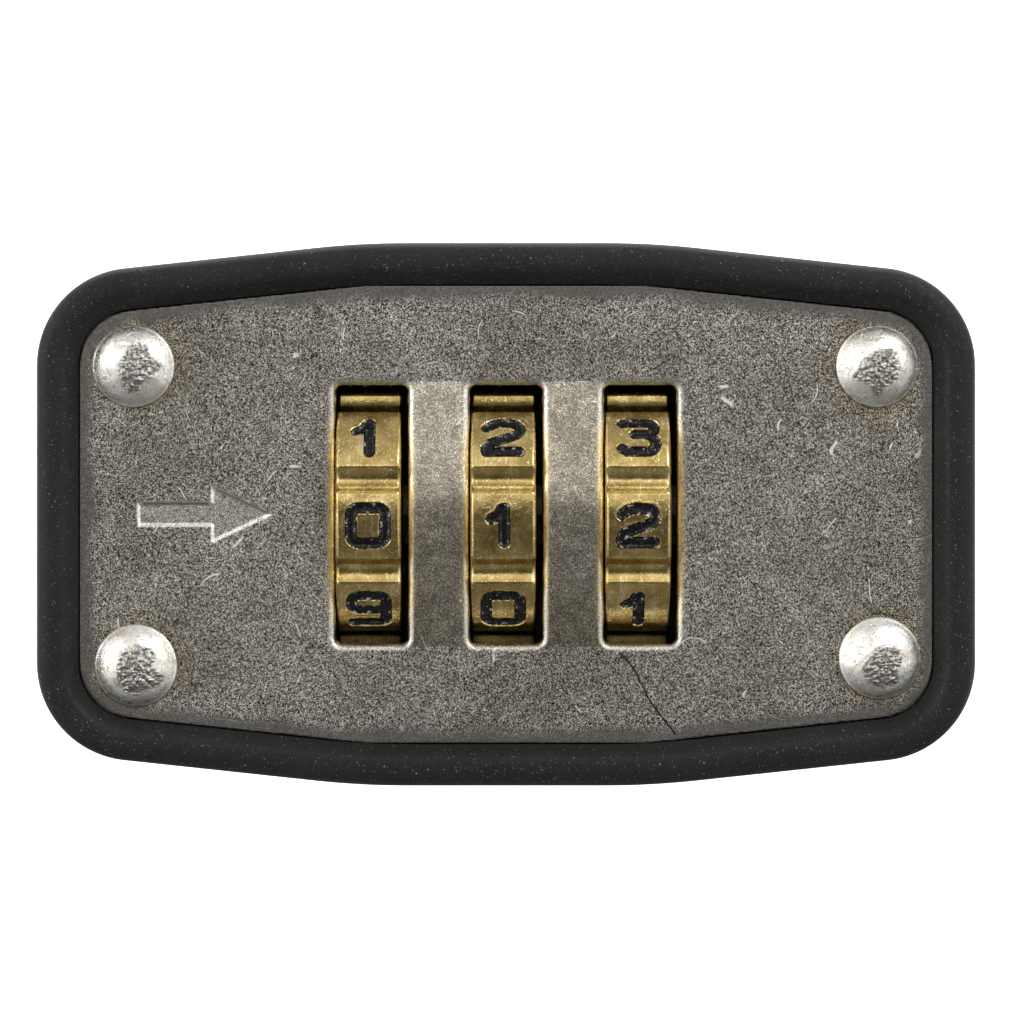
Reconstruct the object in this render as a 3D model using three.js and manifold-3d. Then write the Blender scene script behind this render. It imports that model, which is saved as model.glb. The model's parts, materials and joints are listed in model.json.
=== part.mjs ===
// Small wall-mounted key lock box with a three-dial combination lock in its hinged door.
// Millimetres. +X right, +Z up, the dials face -Y. The origin is the centre of the back (wall) face.
import * as THREE from 'three';
import { mergeVertices } from 'three/addons/utils/BufferGeometryUtils.js';
import Module from 'manifold-3d';

const wasm = await Module();
wasm.setup();

// ---------------------------------------------------------------- driving dimensions

// Outer outline, seen from the front: flat in the middle of the top and bottom, then gently sloping.
const OUTER_WIDTH = 70;
const OUTER_HEIGHT = 40.5;
const CORNER_RADIUS = 7.3;
const FLAT_HALF_LENGTH = 10.8;
const SLOPE = THREE.MathUtils.degToRad(6.1);
const CORNER_STEPS = 7;

// How far each shell lies inside the outer outline.
const INSET = { bumper: 1.6, lip: 3.1, plate: 3.3, caseOuter: 1.7, caseInner: 3.5, cover: 3.65 };

// Stations along Y, from the wall to the front.
const PAD_FRONT = -1.2;
const CASE_BACK = -1.3;
const CASE_FLOOR = -3.2;
const CASE_RIM = -15.0;
const DOOR_RIM = -15.3;
const COVER = [-16.6, -15.6];
const DECK = [-36.2, -34.7];
const PLATE = [-37.8, -36.3];
const BUMPER_FRONT = -39.1;
const BUMPER_EDGE = 1.0;

// Door hinge, parallel to Z on the right-hand side.
const HINGE = { x: 33.4, y: -15.15, knuckle: 1.35, clearance: 1.6, pin: 0.75, bore: 0.85 };
const CASE_KNUCKLE = [3.3, 9.5];
const DOOR_KNUCKLE_HALF = 3.0;
const KNUCKLE_GAP = 0.15;
const PIN_HEAD = [CASE_KNUCKLE[1] + 0.2, CASE_KNUCKLE[1] + 0.7];
const NOTCH = { x: 32.9, depth: 2.4 };

// Number wheels, code cams and their axle, which lies along X.
const AXLE_Y = -29.0;
const AXLE_RADIUS = 1.5;
const AXLE = [-19.5, 19.9];
const WHEEL_PITCH = 10.03;
const WHEEL_OFFSET = -0.2;
const WHEEL = { radius: 11.05, width: 4.9, bore: 4.8, steps: 10, grooveWidth: 1.9, grooveDepth: 0.55 };
const WHEEL_STEP = (2 * Math.PI) / WHEEL.steps;
const WHEEL_PHASE = THREE.MathUtils.degToRad(-4.4);
const SPLINE = { length: 1.25, root: 4.0, toothAngle: 12 };
const CAM = {
  disc: 7.0, gate: 3.0, gateFloor: 5.0, hub: 3.8, toothTip: 4.6, toothAngle: 18, sleeve: 2.6, bore: 1.6,
};
const CAM_DISC = [1.65, 2.85];
const CAM_TOOTH = [-1.2, 0];
const CAM_SLEEVE = [-6.08, 3.85];

// Fork that pushes the cams out of mesh with their wheels when the code is changed.
const FORK_X = [16.3, 17.3];
const CHANGE_TRAVEL = 1.3;

// Windows and arched bars of the front plate.
const WINDOW = { width: 5.42, height: 19.35, corner: 0.5 };
const BAR_CHORD_HALF = 9.9;
const BAR_RISE = 1.2;
const ARROW = { tail: -27.4, neck: -21.9, tip: -17.6, shaft: 1.6, head: 4.0, depth: 0.3 };

// Fasteners.
const RIVETS_AT = [[27.7, 11.05], [-27.8, 11.05], [-27.6, -11.3], [27.9, -10.75]];
const RIVET = { head: 3.14, rise: 1.45, shank: 1.6, tail: 2.4, hole: 1.75 };
const COVER_SCREW_AT = { x: 29.2, z: 10.6 };
const WALL_SCREW_AT = { x: 23, z: 9.5 };
const WALL_SCREW_HOLE = 2.0;
const POST_AT = { x: 15.2, z: -13.8 };
const KEEPER_SCREW_AT = { y: -8.5, z: 3.9 };
const KEEPER_SCREW_HOLE = 1.05;

// Bolt that the thumb slide draws: a bar over the wheels with one finger for each cam.
const BOLT_TRAVEL = 2.8;
const BAR_Y = [-30.2, -27.8];
const BAR_Z = [12.0, 14.4];
const STEM_HALF = 2.0;
const THUMB_HALF = 5.4;
const FINGER = [3.15, 4.15];
const FINGER_REACH = 5.5;
const LINK_X = [-23.5, -21.5];
const TONGUE_Y = [-19.7, -17.5];
const RIB_LEFT = [-18.5, -16.7];
const RIB_RIGHT = [17.9, 19.7];

const GAP = 0.05;
const BIG = 60;

// ---------------------------------------------------------------- solids

function toSolid(geometry) {
  const bare = geometry.clone();
  bare.deleteAttribute('normal');
  bare.deleteAttribute('uv');
  const merged = mergeVertices(bare, 1e-4);
  const index = merged.index.array;
  const kept = [];
  for (let i = 0; i < index.length; i += 3) {
    const [a, b, c] = index.slice(i, i + 3);
    if (a !== b && b !== c && c !== a) kept.push(a, b, c);
  }
  const vertProperties = new Float32Array(merged.attributes.position.array);
  return new wasm.Manifold(new wasm.Mesh({ numProp: 3, vertProperties, triVerts: new Uint32Array(kept) }));
}

function toGeometry(solid) {
  const mesh = solid.getMesh();
  const geometry = new THREE.BufferGeometry();
  geometry.setAttribute('position', new THREE.BufferAttribute(mesh.vertProperties, 3));
  geometry.setIndex(new THREE.BufferAttribute(mesh.triVerts, 1));
  geometry.computeVertexNormals();
  return geometry;
}

const middle = ([low, high]) => (low + high) / 2;
const length = ([low, high]) => high - low;
const join = (...solids) => solids.flat().reduce((sum, solid) => sum.add(solid));
const cut = (solid, ...tools) => tools.flat().reduce((rest, tool) => rest.subtract(tool), solid);

function box(x, y, z) {
  const geometry = new THREE.BoxGeometry(length(x), length(y), length(z));
  return toSolid(geometry.translate(middle(x), middle(y), middle(z)));
}

function rodX(radius, x, y = 0, z = 0, sides = 20) {
  const geometry = new THREE.CylinderGeometry(radius, radius, length(x), sides);
  return toSolid(geometry.rotateZ(Math.PI / 2).translate(middle(x), y, z));
}

function rodY(radius, y, x = 0, z = 0, sides = 16) {
  const geometry = new THREE.CylinderGeometry(radius, radius, length(y), sides);
  return toSolid(geometry.translate(x, middle(y), z));
}

function rodZ(radius, z, x = 0, y = 0, sides = 16) {
  const geometry = new THREE.CylinderGeometry(radius, radius, length(z), sides);
  return toSolid(geometry.rotateX(Math.PI / 2).translate(x, y, middle(z)));
}

function extrude(shape, depth, bevel, curveSegments) {
  const settings = {
    depth: depth - 2 * bevel,
    bevelEnabled: bevel > 0,
    bevelThickness: bevel,
    bevelSize: bevel,
    bevelOffset: -bevel,
    bevelSegments: bevel > 0.5 ? 2 : 1,
    curveSegments,
  };
  return new THREE.ExtrudeGeometry(shape, settings).translate(0, 0, bevel);
}

// A shape drawn in X and Z, carried along Y. The bevel rounds its front and back edges.
function prismY(shape, y, bevel = 0, curveSegments = 4) {
  return toSolid(extrude(shape, length(y), bevel, curveSegments).rotateX(Math.PI / 2).translate(0, y[1], 0));
}

// A shape drawn in Y and Z, carried along X.
function prismX(shape, x, curveSegments = 2) {
  const axes = [new THREE.Vector3(0, 1, 0), new THREE.Vector3(0, 0, 1), new THREE.Vector3(1, 0, 0)];
  const turn = new THREE.Matrix4().makeBasis(...axes);
  return toSolid(extrude(shape, length(x), 0, curveSegments).applyMatrix4(turn).translate(x[0], 0, 0));
}

// A profile of [radius, y] points, turned about the Y axis.
function lathe(profile, sides) {
  const points = profile.map(([radius, y]) => new THREE.Vector2(radius, y));
  return toSolid(new THREE.LatheGeometry(points, sides));
}

// ---------------------------------------------------------------- outlines

// The box's outline, moved inwards by the inset. The corner arcs keep their centres.
function outline(inset) {
  const radius = CORNER_RADIUS - inset;
  const centreX = OUTER_WIDTH / 2 - CORNER_RADIUS;
  const drop = (CORNER_RADIUS + (centreX - FLAT_HALF_LENGTH) * Math.sin(SLOPE)) / Math.cos(SLOPE);
  const centreZ = OUTER_HEIGHT / 2 - drop;
  const quarter = [];
  for (let step = 0; step <= CORNER_STEPS; step++) {
    const angle = ((Math.PI / 2 - SLOPE) * step) / CORNER_STEPS;
    quarter.push([centreX + radius * Math.cos(angle), centreZ + radius * Math.sin(angle)]);
  }
  quarter.push([FLAT_HALF_LENGTH - inset * Math.tan(SLOPE / 2), OUTER_HEIGHT / 2 - inset]);
  const mirrored = quarter.map(([x, z]) => [-x, z]).reverse();
  const upper = [...quarter, ...mirrored];
  const lower = upper.map(([x, z]) => [-x, -z]);
  return new THREE.Shape([...upper, ...lower].map(([x, z]) => new THREE.Vector2(x, z)));
}

function roundedRectangle(centreX, width, height, corner) {
  const shape = new THREE.Shape();
  const [left, right] = [centreX - width / 2, centreX + width / 2];
  const top = height / 2;
  shape.absarc(right - corner, top - corner, corner, 0, Math.PI / 2);
  shape.absarc(left + corner, top - corner, corner, Math.PI / 2, Math.PI);
  shape.absarc(left + corner, corner - top, corner, Math.PI, 1.5 * Math.PI);
  shape.absarc(right - corner, corner - top, corner, 1.5 * Math.PI, 2 * Math.PI);
  return shape;
}

// Wheel rim in Y and Z: flat-topped lands with a round-bottomed groove between each two.
function wheelOutline() {
  const halfGroove = Math.asin(WHEEL.grooveWidth / 2 / WHEEL.radius);
  const points = [];
  const add = (angle, radius) => {
    points.push(new THREE.Vector2(radius * Math.cos(angle), radius * Math.sin(angle)));
  };
  for (let land = 0; land < WHEEL.steps; land++) {
    const start = Math.PI - WHEEL_PHASE + WHEEL_STEP * (land - 0.5);
    for (let step = 0; step <= 4; step++) {
      add(start + halfGroove + ((WHEEL_STEP - 2 * halfGroove) * step) / 4, WHEEL.radius);
    }
    for (let step = 1; step < 4; step++) {
      const across = -1 + step / 2;
      const depth = WHEEL.grooveDepth * (1 - across ** 2);
      add(start + WHEEL_STEP + across * halfGroove, WHEEL.radius - depth);
    }
  }
  return new THREE.Shape(points);
}

// Ten teeth round the X axis, between the root and the tip radius. Phase is in tooth pitches.
function teeth(root, tip, toothAngle, x, phase) {
  const half = THREE.MathUtils.degToRad(toothAngle / 2);
  return Array.from({ length: WHEEL.steps }, (_, tooth) => {
    const centre = WHEEL_PHASE + WHEEL_STEP * (tooth + phase);
    const shape = new THREE.Shape();
    shape.absarc(0, 0, tip, centre - half, centre + half);
    shape.absarc(0, 0, root, centre + half, centre - half, true);
    return prismX(shape, x);
  });
}

const boreHinge = (z) => rodZ(HINGE.bore, z, HINGE.x, HINGE.y);
const knuckle = (z) => rodZ(HINGE.knuckle, z, HINGE.x, HINGE.y);
const hingeClearance = (z) => rodZ(HINGE.clearance, z, HINGE.x, HINGE.y);
const fourCorners = ({ x, z }) => [[x, z], [-x, z], [-x, -z], [x, -z]];
const mirrorZ = ([low, high]) => [-high, -low];

// A hinge-side notch in a bumper, so that the door can swing without the two bumpers meeting.
const hingeNotch = (y) => box([NOTCH.x, OUTER_WIDTH], y, [-BIG, BIG]);

// ---------------------------------------------------------------- box: fixed to the wall

function keyCase() {
  const shell = cut(
    prismY(outline(INSET.caseOuter), [CASE_RIM, CASE_BACK]),
    prismY(outline(INSET.caseInner), [CASE_RIM - 1, CASE_FLOOR]),
  );
  const knuckles = [CASE_KNUCKLE, mirrorZ(CASE_KNUCKLE)].map(knuckle);
  const wallHoles = fourCorners(WALL_SCREW_AT).map(([x, z]) => rodY(WALL_SCREW_HOLE, [-4, 0], x, z));
  const doorKnuckle = DOOR_KNUCKLE_HALF + KNUCKLE_GAP;
  const screwHoles = [-1, 1].map((side) => {
    return rodX(KEEPER_SCREW_HOLE, [-32.6, -31], KEEPER_SCREW_AT.y, side * KEEPER_SCREW_AT.z, 16);
  });
  return cut(
    join(cut(shell, hingeClearance([-doorKnuckle, doorKnuckle])), knuckles),
    wallHoles,
    boreHinge([-PIN_HEAD[0] - 0.2, PIN_HEAD[1]]),
    hingeClearance([PIN_HEAD[0] - 0.1, PIN_HEAD[1] + 0.2]),
    screwHoles,
  );
}

function rearBumper() {
  const outer = prismY(outline(0), [-25, 0], BUMPER_EDGE);
  return cut(
    outer,
    box([-BIG, BIG], [-BIG, CASE_RIM], [-BIG, BIG]),
    prismY(outline(INSET.bumper), [CASE_RIM - 1, PAD_FRONT]),
    prismY(outline(INSET.lip), [CASE_RIM - 1, 1]),
    hingeNotch([CASE_RIM - 1, CASE_RIM + NOTCH.depth]),
  );
}

function backingPad() {
  const holes = fourCorners(WALL_SCREW_AT).map(([x, z]) => rodY(WALL_SCREW_HOLE, [-4, 1], x, z));
  return cut(prismY(outline(INSET.plate), [PAD_FRONT, 0]), holes);
}

// Bent strip screwed inside the left wall. The bolt's tongue enters the window in its blade.
function keeper() {
  const base = box([-31.4, -30.2], [-14.2, -5], [-6, 6]);
  const web = box([-31.4, -27], [-14.2, -13], [-4.5, 4.5]);
  const blade = box([-28.2, -27], [-21.5, -13], [-4.5, 4.5]);
  const window = box([-29, -26], [-20.1, -17.1], [-2.4, 2.4]);
  const holes = [-1, 1].map((side) => {
    return rodX(KEEPER_SCREW_HOLE, [-32, -29], KEEPER_SCREW_AT.y, side * KEEPER_SCREW_AT.z, 16);
  });
  return cut(join(base, web, blade), window, holes);
}

function slottedScrewX(headRadius, shankRadius, shankLength) {
  const head = rodX(headRadius, [0, 0.7], 0, 0, 14);
  const shank = rodX(shankRadius, [-shankLength, 0.1], 0, 0, 10);
  return cut(join(head, shank), box([0.4, 1], [-0.22, 0.22], [-3, 3]));
}

function hingePin() {
  const head = rodZ(HINGE.knuckle - 0.1, PIN_HEAD, HINGE.x, HINGE.y);
  return join(rodZ(HINGE.pin, [-PIN_HEAD[0], PIN_HEAD[1]], HINGE.x, HINGE.y, 16), head);
}

// ---------------------------------------------------------------- door: shells and plates

function lockCase() {
  const shell = cut(
    prismY(outline(INSET.caseOuter), [DECK[0], DOOR_RIM]),
    prismY(outline(INSET.caseInner), [DECK[1], DOOR_RIM + 1]),
    box([-14, 15.9], [DECK[0] - 1, DECK[1] + 1], [-10.5, 10.5]),
  );
  const inside = prismY(outline(2.6), [DECK[0] + 0.5, -17]);
  const carriers = [RIB_LEFT, RIB_RIGHT].map((x) => {
    return box(x, [DECK[0] + 0.5, -19.5], [-20, 20]).intersect(inside);
  });
  const bosses = fourCorners(COVER_SCREW_AT).flatMap(([x, z]) => [
    rodY(2.3, [-26, COVER[0] - 0.1], x, z),
    box([Math.min(x, x * 1.1), Math.max(x, x * 1.1)], [-26, COVER[0] - 0.1], [z - 1.4, z + 1.4]),
  ]);
  const posts = [-1, 1].map((side) => rodY(1.6, [DECK[0] + 0.5, -17.75], side * POST_AT.x, POST_AT.z, 16));
  const lugs = [[3.3, 4.2], [13.8, 14.7]].map((x) => box(x, [-30.6, -27.4], [15.0, 17.5]));
  const solid = join(shell, carriers, bosses, posts, lugs);

  const bolt = box([RIB_LEFT[0] - 1, RIB_LEFT[1] + 1], [-30.5, -17], [11.7, 14.7]);
  const stemSlot = box([-BOLT_TRAVEL - STEM_HALF - 0.3, STEM_HALF + 0.3], [-30.5, -27.5], [14, 20]);
  const axleHoles = [
    rodX(AXLE_RADIUS + GAP, [-20, 21], AXLE_Y),
    rodX(2.6, [30, 36], AXLE_Y),
  ];
  const rivetHoles = RIVETS_AT.map(([x, z]) => rodY(RIVET.hole, [-37, -33], x, z));
  const screwHoles = fourCorners(COVER_SCREW_AT).map(([x, z]) => rodY(0.9, [-22, -16], x, z, 10));
  const postHoles = [-1, 1].map((side) => rodY(0.9, [-21.5, -17], side * POST_AT.x, POST_AT.z, 12));
  const caseKnuckle = [CASE_KNUCKLE[0] - KNUCKLE_GAP, PIN_HEAD[1] + 0.2];
  const clearances = [caseKnuckle, mirrorZ(caseKnuckle)].map(hingeClearance);
  const doorKnuckle = knuckle([-DOOR_KNUCKLE_HALF, DOOR_KNUCKLE_HALF]);
  return cut(
    join(cut(solid, bolt, stemSlot, axleHoles, rivetHoles, screwHoles, postHoles, clearances), doorKnuckle),
    boreHinge([-PIN_HEAD[0] - 0.2, PIN_HEAD[1]]),
  );
}

function frontBumper() {
  const outer = prismY(outline(0), [BUMPER_FRONT, -10], BUMPER_EDGE);
  return cut(
    outer,
    box([-BIG, BIG], [DOOR_RIM, 0], [-BIG, BIG]),
    prismY(outline(INSET.bumper), [PLATE[1], 0]),
    prismY(outline(INSET.lip), [BUMPER_FRONT - 1, 0]),
    box([-THUMB_HALF - BOLT_TRAVEL - 0.3, THUMB_HALF + 0.3], [-33, -25], [18.3, 22]),
    hingeNotch([DOOR_RIM - NOTCH.depth, 0]),
  );
}

// The plate over the dials: three windows, and a bar between each two that arches over the wheels.
function frontPlate() {
  const base = prismY(outline(INSET.plate), [PLATE[0], PLATE[1] + 1], 0.4);
  const arch = new THREE.Shape();
  const radius = (BAR_CHORD_HALF ** 2 + BAR_RISE ** 2) / (2 * BAR_RISE);
  const half = Math.asin(BAR_CHORD_HALF / radius);
  arch.absarc(PLATE[0] - BAR_RISE + radius, 0, radius, Math.PI - half, Math.PI + half);
  arch.lineTo(PLATE[1], -BAR_CHORD_HALF);
  arch.lineTo(PLATE[1], BAR_CHORD_HALF);
  const barHalf = (WHEEL_PITCH - WINDOW.width) / 2;
  const bars = [-0.5, 0.5].map((step) => {
    const centre = step * WHEEL_PITCH;
    return prismX(arch, [centre - barHalf - 0.3, centre + barHalf + 0.3], 10);
  });
  const windows = [-1, 0, 1].map((step) => {
    const shape = roundedRectangle(step * WHEEL_PITCH, WINDOW.width, WINDOW.height, WINDOW.corner);
    return prismY(shape, [-45, -30]);
  });
  const rivetHoles = RIVETS_AT.map(([x, z]) => rodY(RIVET.hole, [-39, -34], x, z));
  const trimmed = cut(base, box([-BIG, BIG], [PLATE[1], -30], [-BIG, BIG]));
  return cut(join(trimmed, bars), windows, rivetHoles, arrow());
}

function arrow() {
  const { tail, neck, tip, shaft, head, depth } = ARROW;
  const upper = [[tail, shaft / 2], [neck, shaft / 2], [neck, head / 2], [tip, 0]];
  const lower = upper.slice(0, 3).map(([x, z]) => [x, -z]).reverse();
  const shape = new THREE.Shape([...upper, ...lower].map(([x, z]) => new THREE.Vector2(x, z)));
  return prismY(shape, [PLATE[0] - 1, PLATE[0] + depth]);
}

// Domed rivet through the plate and the deck, upset behind the deck.
function rivet() {
  const radius = (RIVET.head ** 2 + RIVET.rise ** 2) / (2 * RIVET.rise);
  const edge = Math.asin(RIVET.head / radius);
  const seat = PLATE[0] - GAP;
  const dome = [];
  for (let step = 0; step <= 5; step++) {
    const angle = (edge * step) / 5;
    dome.push([radius * Math.sin(angle), seat - RIVET.rise + radius * (1 - Math.cos(angle))]);
  }
  const tailFront = DECK[1] + GAP;
  return lathe([
    ...dome,
    [RIVET.shank, seat],
    [RIVET.shank, tailFront],
    [RIVET.tail, tailFront],
    [RIVET.tail, tailFront + 0.6],
    [RIVET.tail - 0.5, tailFront + 1],
    [0, tailFront + 1],
  ], 18);
}

function lockCover() {
  const plate = prismY(outline(INSET.cover), COVER);
  const sinks = fourCorners(COVER_SCREW_AT).flatMap(([x, z]) => [
    lathe([[0, -0.95], [0.95, -0.95], [1.75, 0], [1.75, 1], [0, 1]], 16).translate(x, COVER[1], z),
    rodY(0.95, [COVER[0] - 1, COVER[1]], x, z),
  ]);
  const keeperSlot = box([-29.2, -26.2], [-18, -14], [-5, 5]);
  const changeSlot = box([FORK_X[0] - CHANGE_TRAVEL - 0.4, FORK_X[1] + 0.4], [-18, -14], [-2.2, 2.2]);
  return cut(plate, sinks, keeperSlot, changeSlot);
}

function coverScrew() {
  const profile = [[0, -5.5], [0.7, -5.5], [0.8, -5.2], [0.8, -0.85], [1.65, 0], [0, 0]];
  return cut(lathe(profile, 14), box([-2, 2], [-0.4, 1], [-0.22, 0.22]));
}

// ---------------------------------------------------------------- door: dial stack

function wheelAxle() {
  const shaft = join(rodX(AXLE_RADIUS, AXLE), rodX(2.4, [RIB_RIGHT[1] + GAP, RIB_RIGHT[1] + 1.1]));
  const groove = cut(rodX(2, [-19.25, -18.75]), rodX(1.15, [-20, -18], 0, 0, 16));
  return cut(shaft, groove);
}

function axleClip() {
  const ring = cut(rodX(2.6, [-19.2, -18.8]), rodX(1.2, [-20, -18], 0, 0, 16));
  return cut(ring, box([-20, -18], [-0.9, 0.9], [0, 4]));
}

// Leaf with one finger for each wheel. Each finger's bump sits in a groove of its wheel.
function detentSpring(wheelCentres) {
  const leafY = [-17.7, -17.35];
  const bumpZ = -WHEEL.radius * Math.sin(WHEEL_STEP / 2 + WHEEL_PHASE);
  const strip = box([-16.4, 17.5], leafY, [-15.6, -12.2]);
  const fingers = wheelCentres.flatMap((x) => [
    box([x - 1.5, x + 1.5], leafY, [-12.5, -1.2]),
    cut(rodX(0.85, [x - 1.2, x + 1.2], -17.6, bumpZ, 20), box([x - 2, x + 2], [-17.5, -16], [-4, 0])),
  ]);
  const holes = [-1, 1].map((side) => rodY(0.95, [-19, -16], side * POST_AT.x, POST_AT.z, 16));
  return cut(join(strip, fingers), holes);
}

function detentScrew() {
  const head = rodY(1.5, [0, 0.55], 0, 0, 14);
  const shank = rodY(0.8, [-3.6, 0.1], 0, 0, 10);
  return cut(join(head, shank), box([-2, 2], [0.3, 1], [-0.22, 0.22]));
}

// Arched leaf between the top wall and the bolt's bar. It holds the bolt where it was left.
function slideDetentSpring() {
  const half = 4.3;
  const rise = 1.5;
  const radius = (half ** 2 + rise ** 2) / (2 * rise);
  const sweep = Math.asin(half / radius);
  const shape = new THREE.Shape();
  shape.absarc(9, 14.55 + radius, radius, -Math.PI / 2 - sweep, -Math.PI / 2 + sweep);
  shape.absarc(9, 14.55 + radius, radius - 0.3, -Math.PI / 2 + sweep, -Math.PI / 2 - sweep, true);
  return prismY(shape, BAR_Y, 0, 8);
}

class Helix extends THREE.Curve {
  constructor(radius, x, turns) {
    super();
    Object.assign(this, { radius, x, turns });
  }

  getPoint(t, target = new THREE.Vector3()) {
    const angle = 2 * Math.PI * this.turns * t;
    const along = this.x[0] + length(this.x) * t;
    return target.set(along, this.radius * Math.cos(angle), this.radius * Math.sin(angle));
  }
}

function changeSpring() {
  const section = new THREE.Shape();
  section.absarc(0, 0, 0.2, 0, 2 * Math.PI);
  const path = new Helix(2.1, [-16.25, -14.3], 2.5);
  return toSolid(new THREE.ExtrudeGeometry(section, { extrudePath: path, steps: 30, curveSegments: 3 }));
}

// ---------------------------------------------------------------- moving pieces

// Built round the X axis, with x = 0 at the wheel's right-hand face.
function numberWheel() {
  const rim = prismX(wheelOutline(), [-WHEEL.width, 0]);
  const bore = rodX(WHEEL.bore, [-WHEEL.width - 1, 1]);
  const spline = teeth(SPLINE.root, WHEEL.bore + 0.3, SPLINE.toothAngle, [-SPLINE.length, 0], 0);
  return join(cut(rim, bore), spline);
}

// Toothed hub that turns with its wheel, with a gated disc beside the wheel. x = 0 as above.
function codeCam() {
  const hub = rodX(CAM.hub, [CAM_TOOTH[0], CAM_DISC[1]]);
  const hubTeeth = teeth(CAM.hub - 0.3, CAM.toothTip, CAM.toothAngle, CAM_TOOTH, 0.5);
  const gate = box([-1, 4], [-CAM.gate / 2, CAM.gate / 2], [CAM.gateFloor, CAM.disc + 1]);
  const disc = cut(rodX(CAM.disc, CAM_DISC, 0, 0, 28), gate);
  const sleeve = rodX(CAM.sleeve, CAM_SLEEVE, 0, 0, 16);
  return cut(join(hub, hubTeeth, disc, sleeve), rodX(CAM.bore, [-10, 10], 0, 0, 16));
}

function lockSlide(rightFaces) {
  const bar = box([LINK_X[0], 17], BAR_Y, BAR_Z);
  const fingers = rightFaces.map((x) => {
    return box([x + FINGER[0], x + FINGER[1]], BAR_Y, [FINGER_REACH, BAR_Z[0] + 0.5]);
  });
  const stem = box([-STEM_HALF, STEM_HALF], BAR_Y, [BAR_Z[1] - 0.5, 18.5]);
  const link = box(LINK_X, [BAR_Y[0], TONGUE_Y[1]], BAR_Z);
  const arm = box(LINK_X, TONGUE_Y, [-2, BAR_Z[1]]);
  const tongue = box([-26.5, LINK_X[1]], TONGUE_Y, [-2, 2]);
  const screwHole = rodZ(0.9, [14.8, 19], 0, AXLE_Y, 16);
  return cut(join(bar, fingers, stem, link, arm, tongue), screwHole);
}

function thumbSlide() {
  const body = box([-THUMB_HALF, THUMB_HALF], [-32.25, -25.75], [18.7, 20.1]);
  const grooves = [-4.4, -3.3, -2.2, 2.2, 3.3, 4.4].map((x) => {
    return box([x - 0.3, x + 0.3], [-BIG, 0], [19.5, 21]);
  });
  const screwHole = [rodZ(0.95, [18, 21], 0, AXLE_Y, 16), rodZ(1.6, [19.2, 21], 0, AXLE_Y)];
  return cut(body, grooves, screwHole);
}

function thumbScrew() {
  const head = rodZ(1.45, [19.25, 20.0], 0, AXLE_Y, 20);
  const shank = rodZ(0.8, [15.2, 19.4], 0, AXLE_Y, 12);
  return cut(join(head, shank), box([-2, 2], [AXLE_Y - 0.22, AXLE_Y + 0.22], [19.65, 21]));
}

// Fork behind the last cam, with a tab that a finger reaches from inside the open door.
function changeSlide() {
  const fork = box(FORK_X, [-32, -18.2], [-4, 4]);
  const axleSlot = box([16, 18], [-33, AXLE_Y], [-1.7, 1.7]);
  const axleSeat = rodX(1.7, [16, 18], AXLE_Y, 0, 16);
  const tab = box(FORK_X, [-19, -14.2], [-1.9, 1.9]);
  return join(cut(fork, axleSlot, axleSeat), tab);
}

// ---------------------------------------------------------------- assembly

function material(color, roughness, metalness) {
  return new THREE.MeshStandardMaterial({ color, roughness, metalness });
}

const ZINC = material(0x8a8782, 0.5, 0.9);
const NICKEL = material(0x7b7873, 0.42, 1.0);
const BRIGHT_STEEL = material(0xcfccc6, 0.22, 1.0);
const STEEL = material(0xa8a9ab, 0.35, 1.0);
const BRASS = material(0xa88c46, 0.3, 1.0);
const RUBBER = material(0x19191b, 0.55, 0.0);
const FOAM = material(0x242426, 0.95, 0.0);

function place(group, name, solid, look, x = 0, y = 0, z = 0) {
  const mesh = new THREE.Mesh(toGeometry(solid), look);
  mesh.name = name;
  mesh.position.set(x, y, z);
  group.add(mesh);
}

const wheelCentres = [-1, 0, 1].map((step) => step * WHEEL_PITCH + WHEEL_OFFSET);
const rightFaces = wheelCentres.map((x) => x + WHEEL.width / 2);

function keyBox() {
  const group = new THREE.Group();
  place(group, 'key_case', keyCase(), ZINC);
  place(group, 'rear_bumper', rearBumper(), RUBBER);
  place(group, 'backing_pad', backingPad(), FOAM);
  place(group, 'keeper', keeper(), STEEL);
  place(group, 'hinge_pin', hingePin(), STEEL);
  [-1, 1].forEach((side, i) => {
    const screw = slottedScrewX(1.6, 0.9, 2.3);
    place(group, `keeper_screw_${i + 1}`, screw, STEEL, -30.15, KEEPER_SCREW_AT.y, side * KEEPER_SCREW_AT.z);
  });
  return group;
}

function door() {
  const group = new THREE.Group();
  place(group, 'lock_case', lockCase(), ZINC);
  place(group, 'front_bumper', frontBumper(), RUBBER);
  place(group, 'front_plate', frontPlate(), NICKEL);
  place(group, 'lock_cover', lockCover(), ZINC);
  RIVETS_AT.forEach(([x, z], i) => {
    place(group, `rivet_${i + 1}`, rivet(), BRIGHT_STEEL, x, 0, z);
  });
  fourCorners(COVER_SCREW_AT).forEach(([x, z], i) => {
    place(group, `cover_screw_${i + 1}`, coverScrew(), STEEL, x, COVER[1], z);
  });
  place(group, 'wheel_axle', wheelAxle(), STEEL, 0, AXLE_Y, 0);
  place(group, 'axle_clip', axleClip(), STEEL, 0, AXLE_Y, 0);
  place(group, 'detent_spring', detentSpring(wheelCentres), STEEL);
  [-1, 1].forEach((side, i) => {
    place(group, `detent_screw_${i + 1}`, detentScrew(), STEEL, side * POST_AT.x, -17.3, POST_AT.z);
  });
  place(group, 'slide_detent_spring', slideDetentSpring(), STEEL);
  place(group, 'change_spring', changeSpring(), STEEL, 0, AXLE_Y, 0);
  return group;
}

function dials() {
  const group = new THREE.Group();
  group.position.set(0, AXLE_Y, 0);
  rightFaces.forEach((x, i) => {
    place(group, `number_wheel_${i + 1}`, numberWheel(), BRASS, x);
    place(group, `code_cam_${i + 1}`, codeCam(), STEEL, x);
  });
  return group;
}

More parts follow.
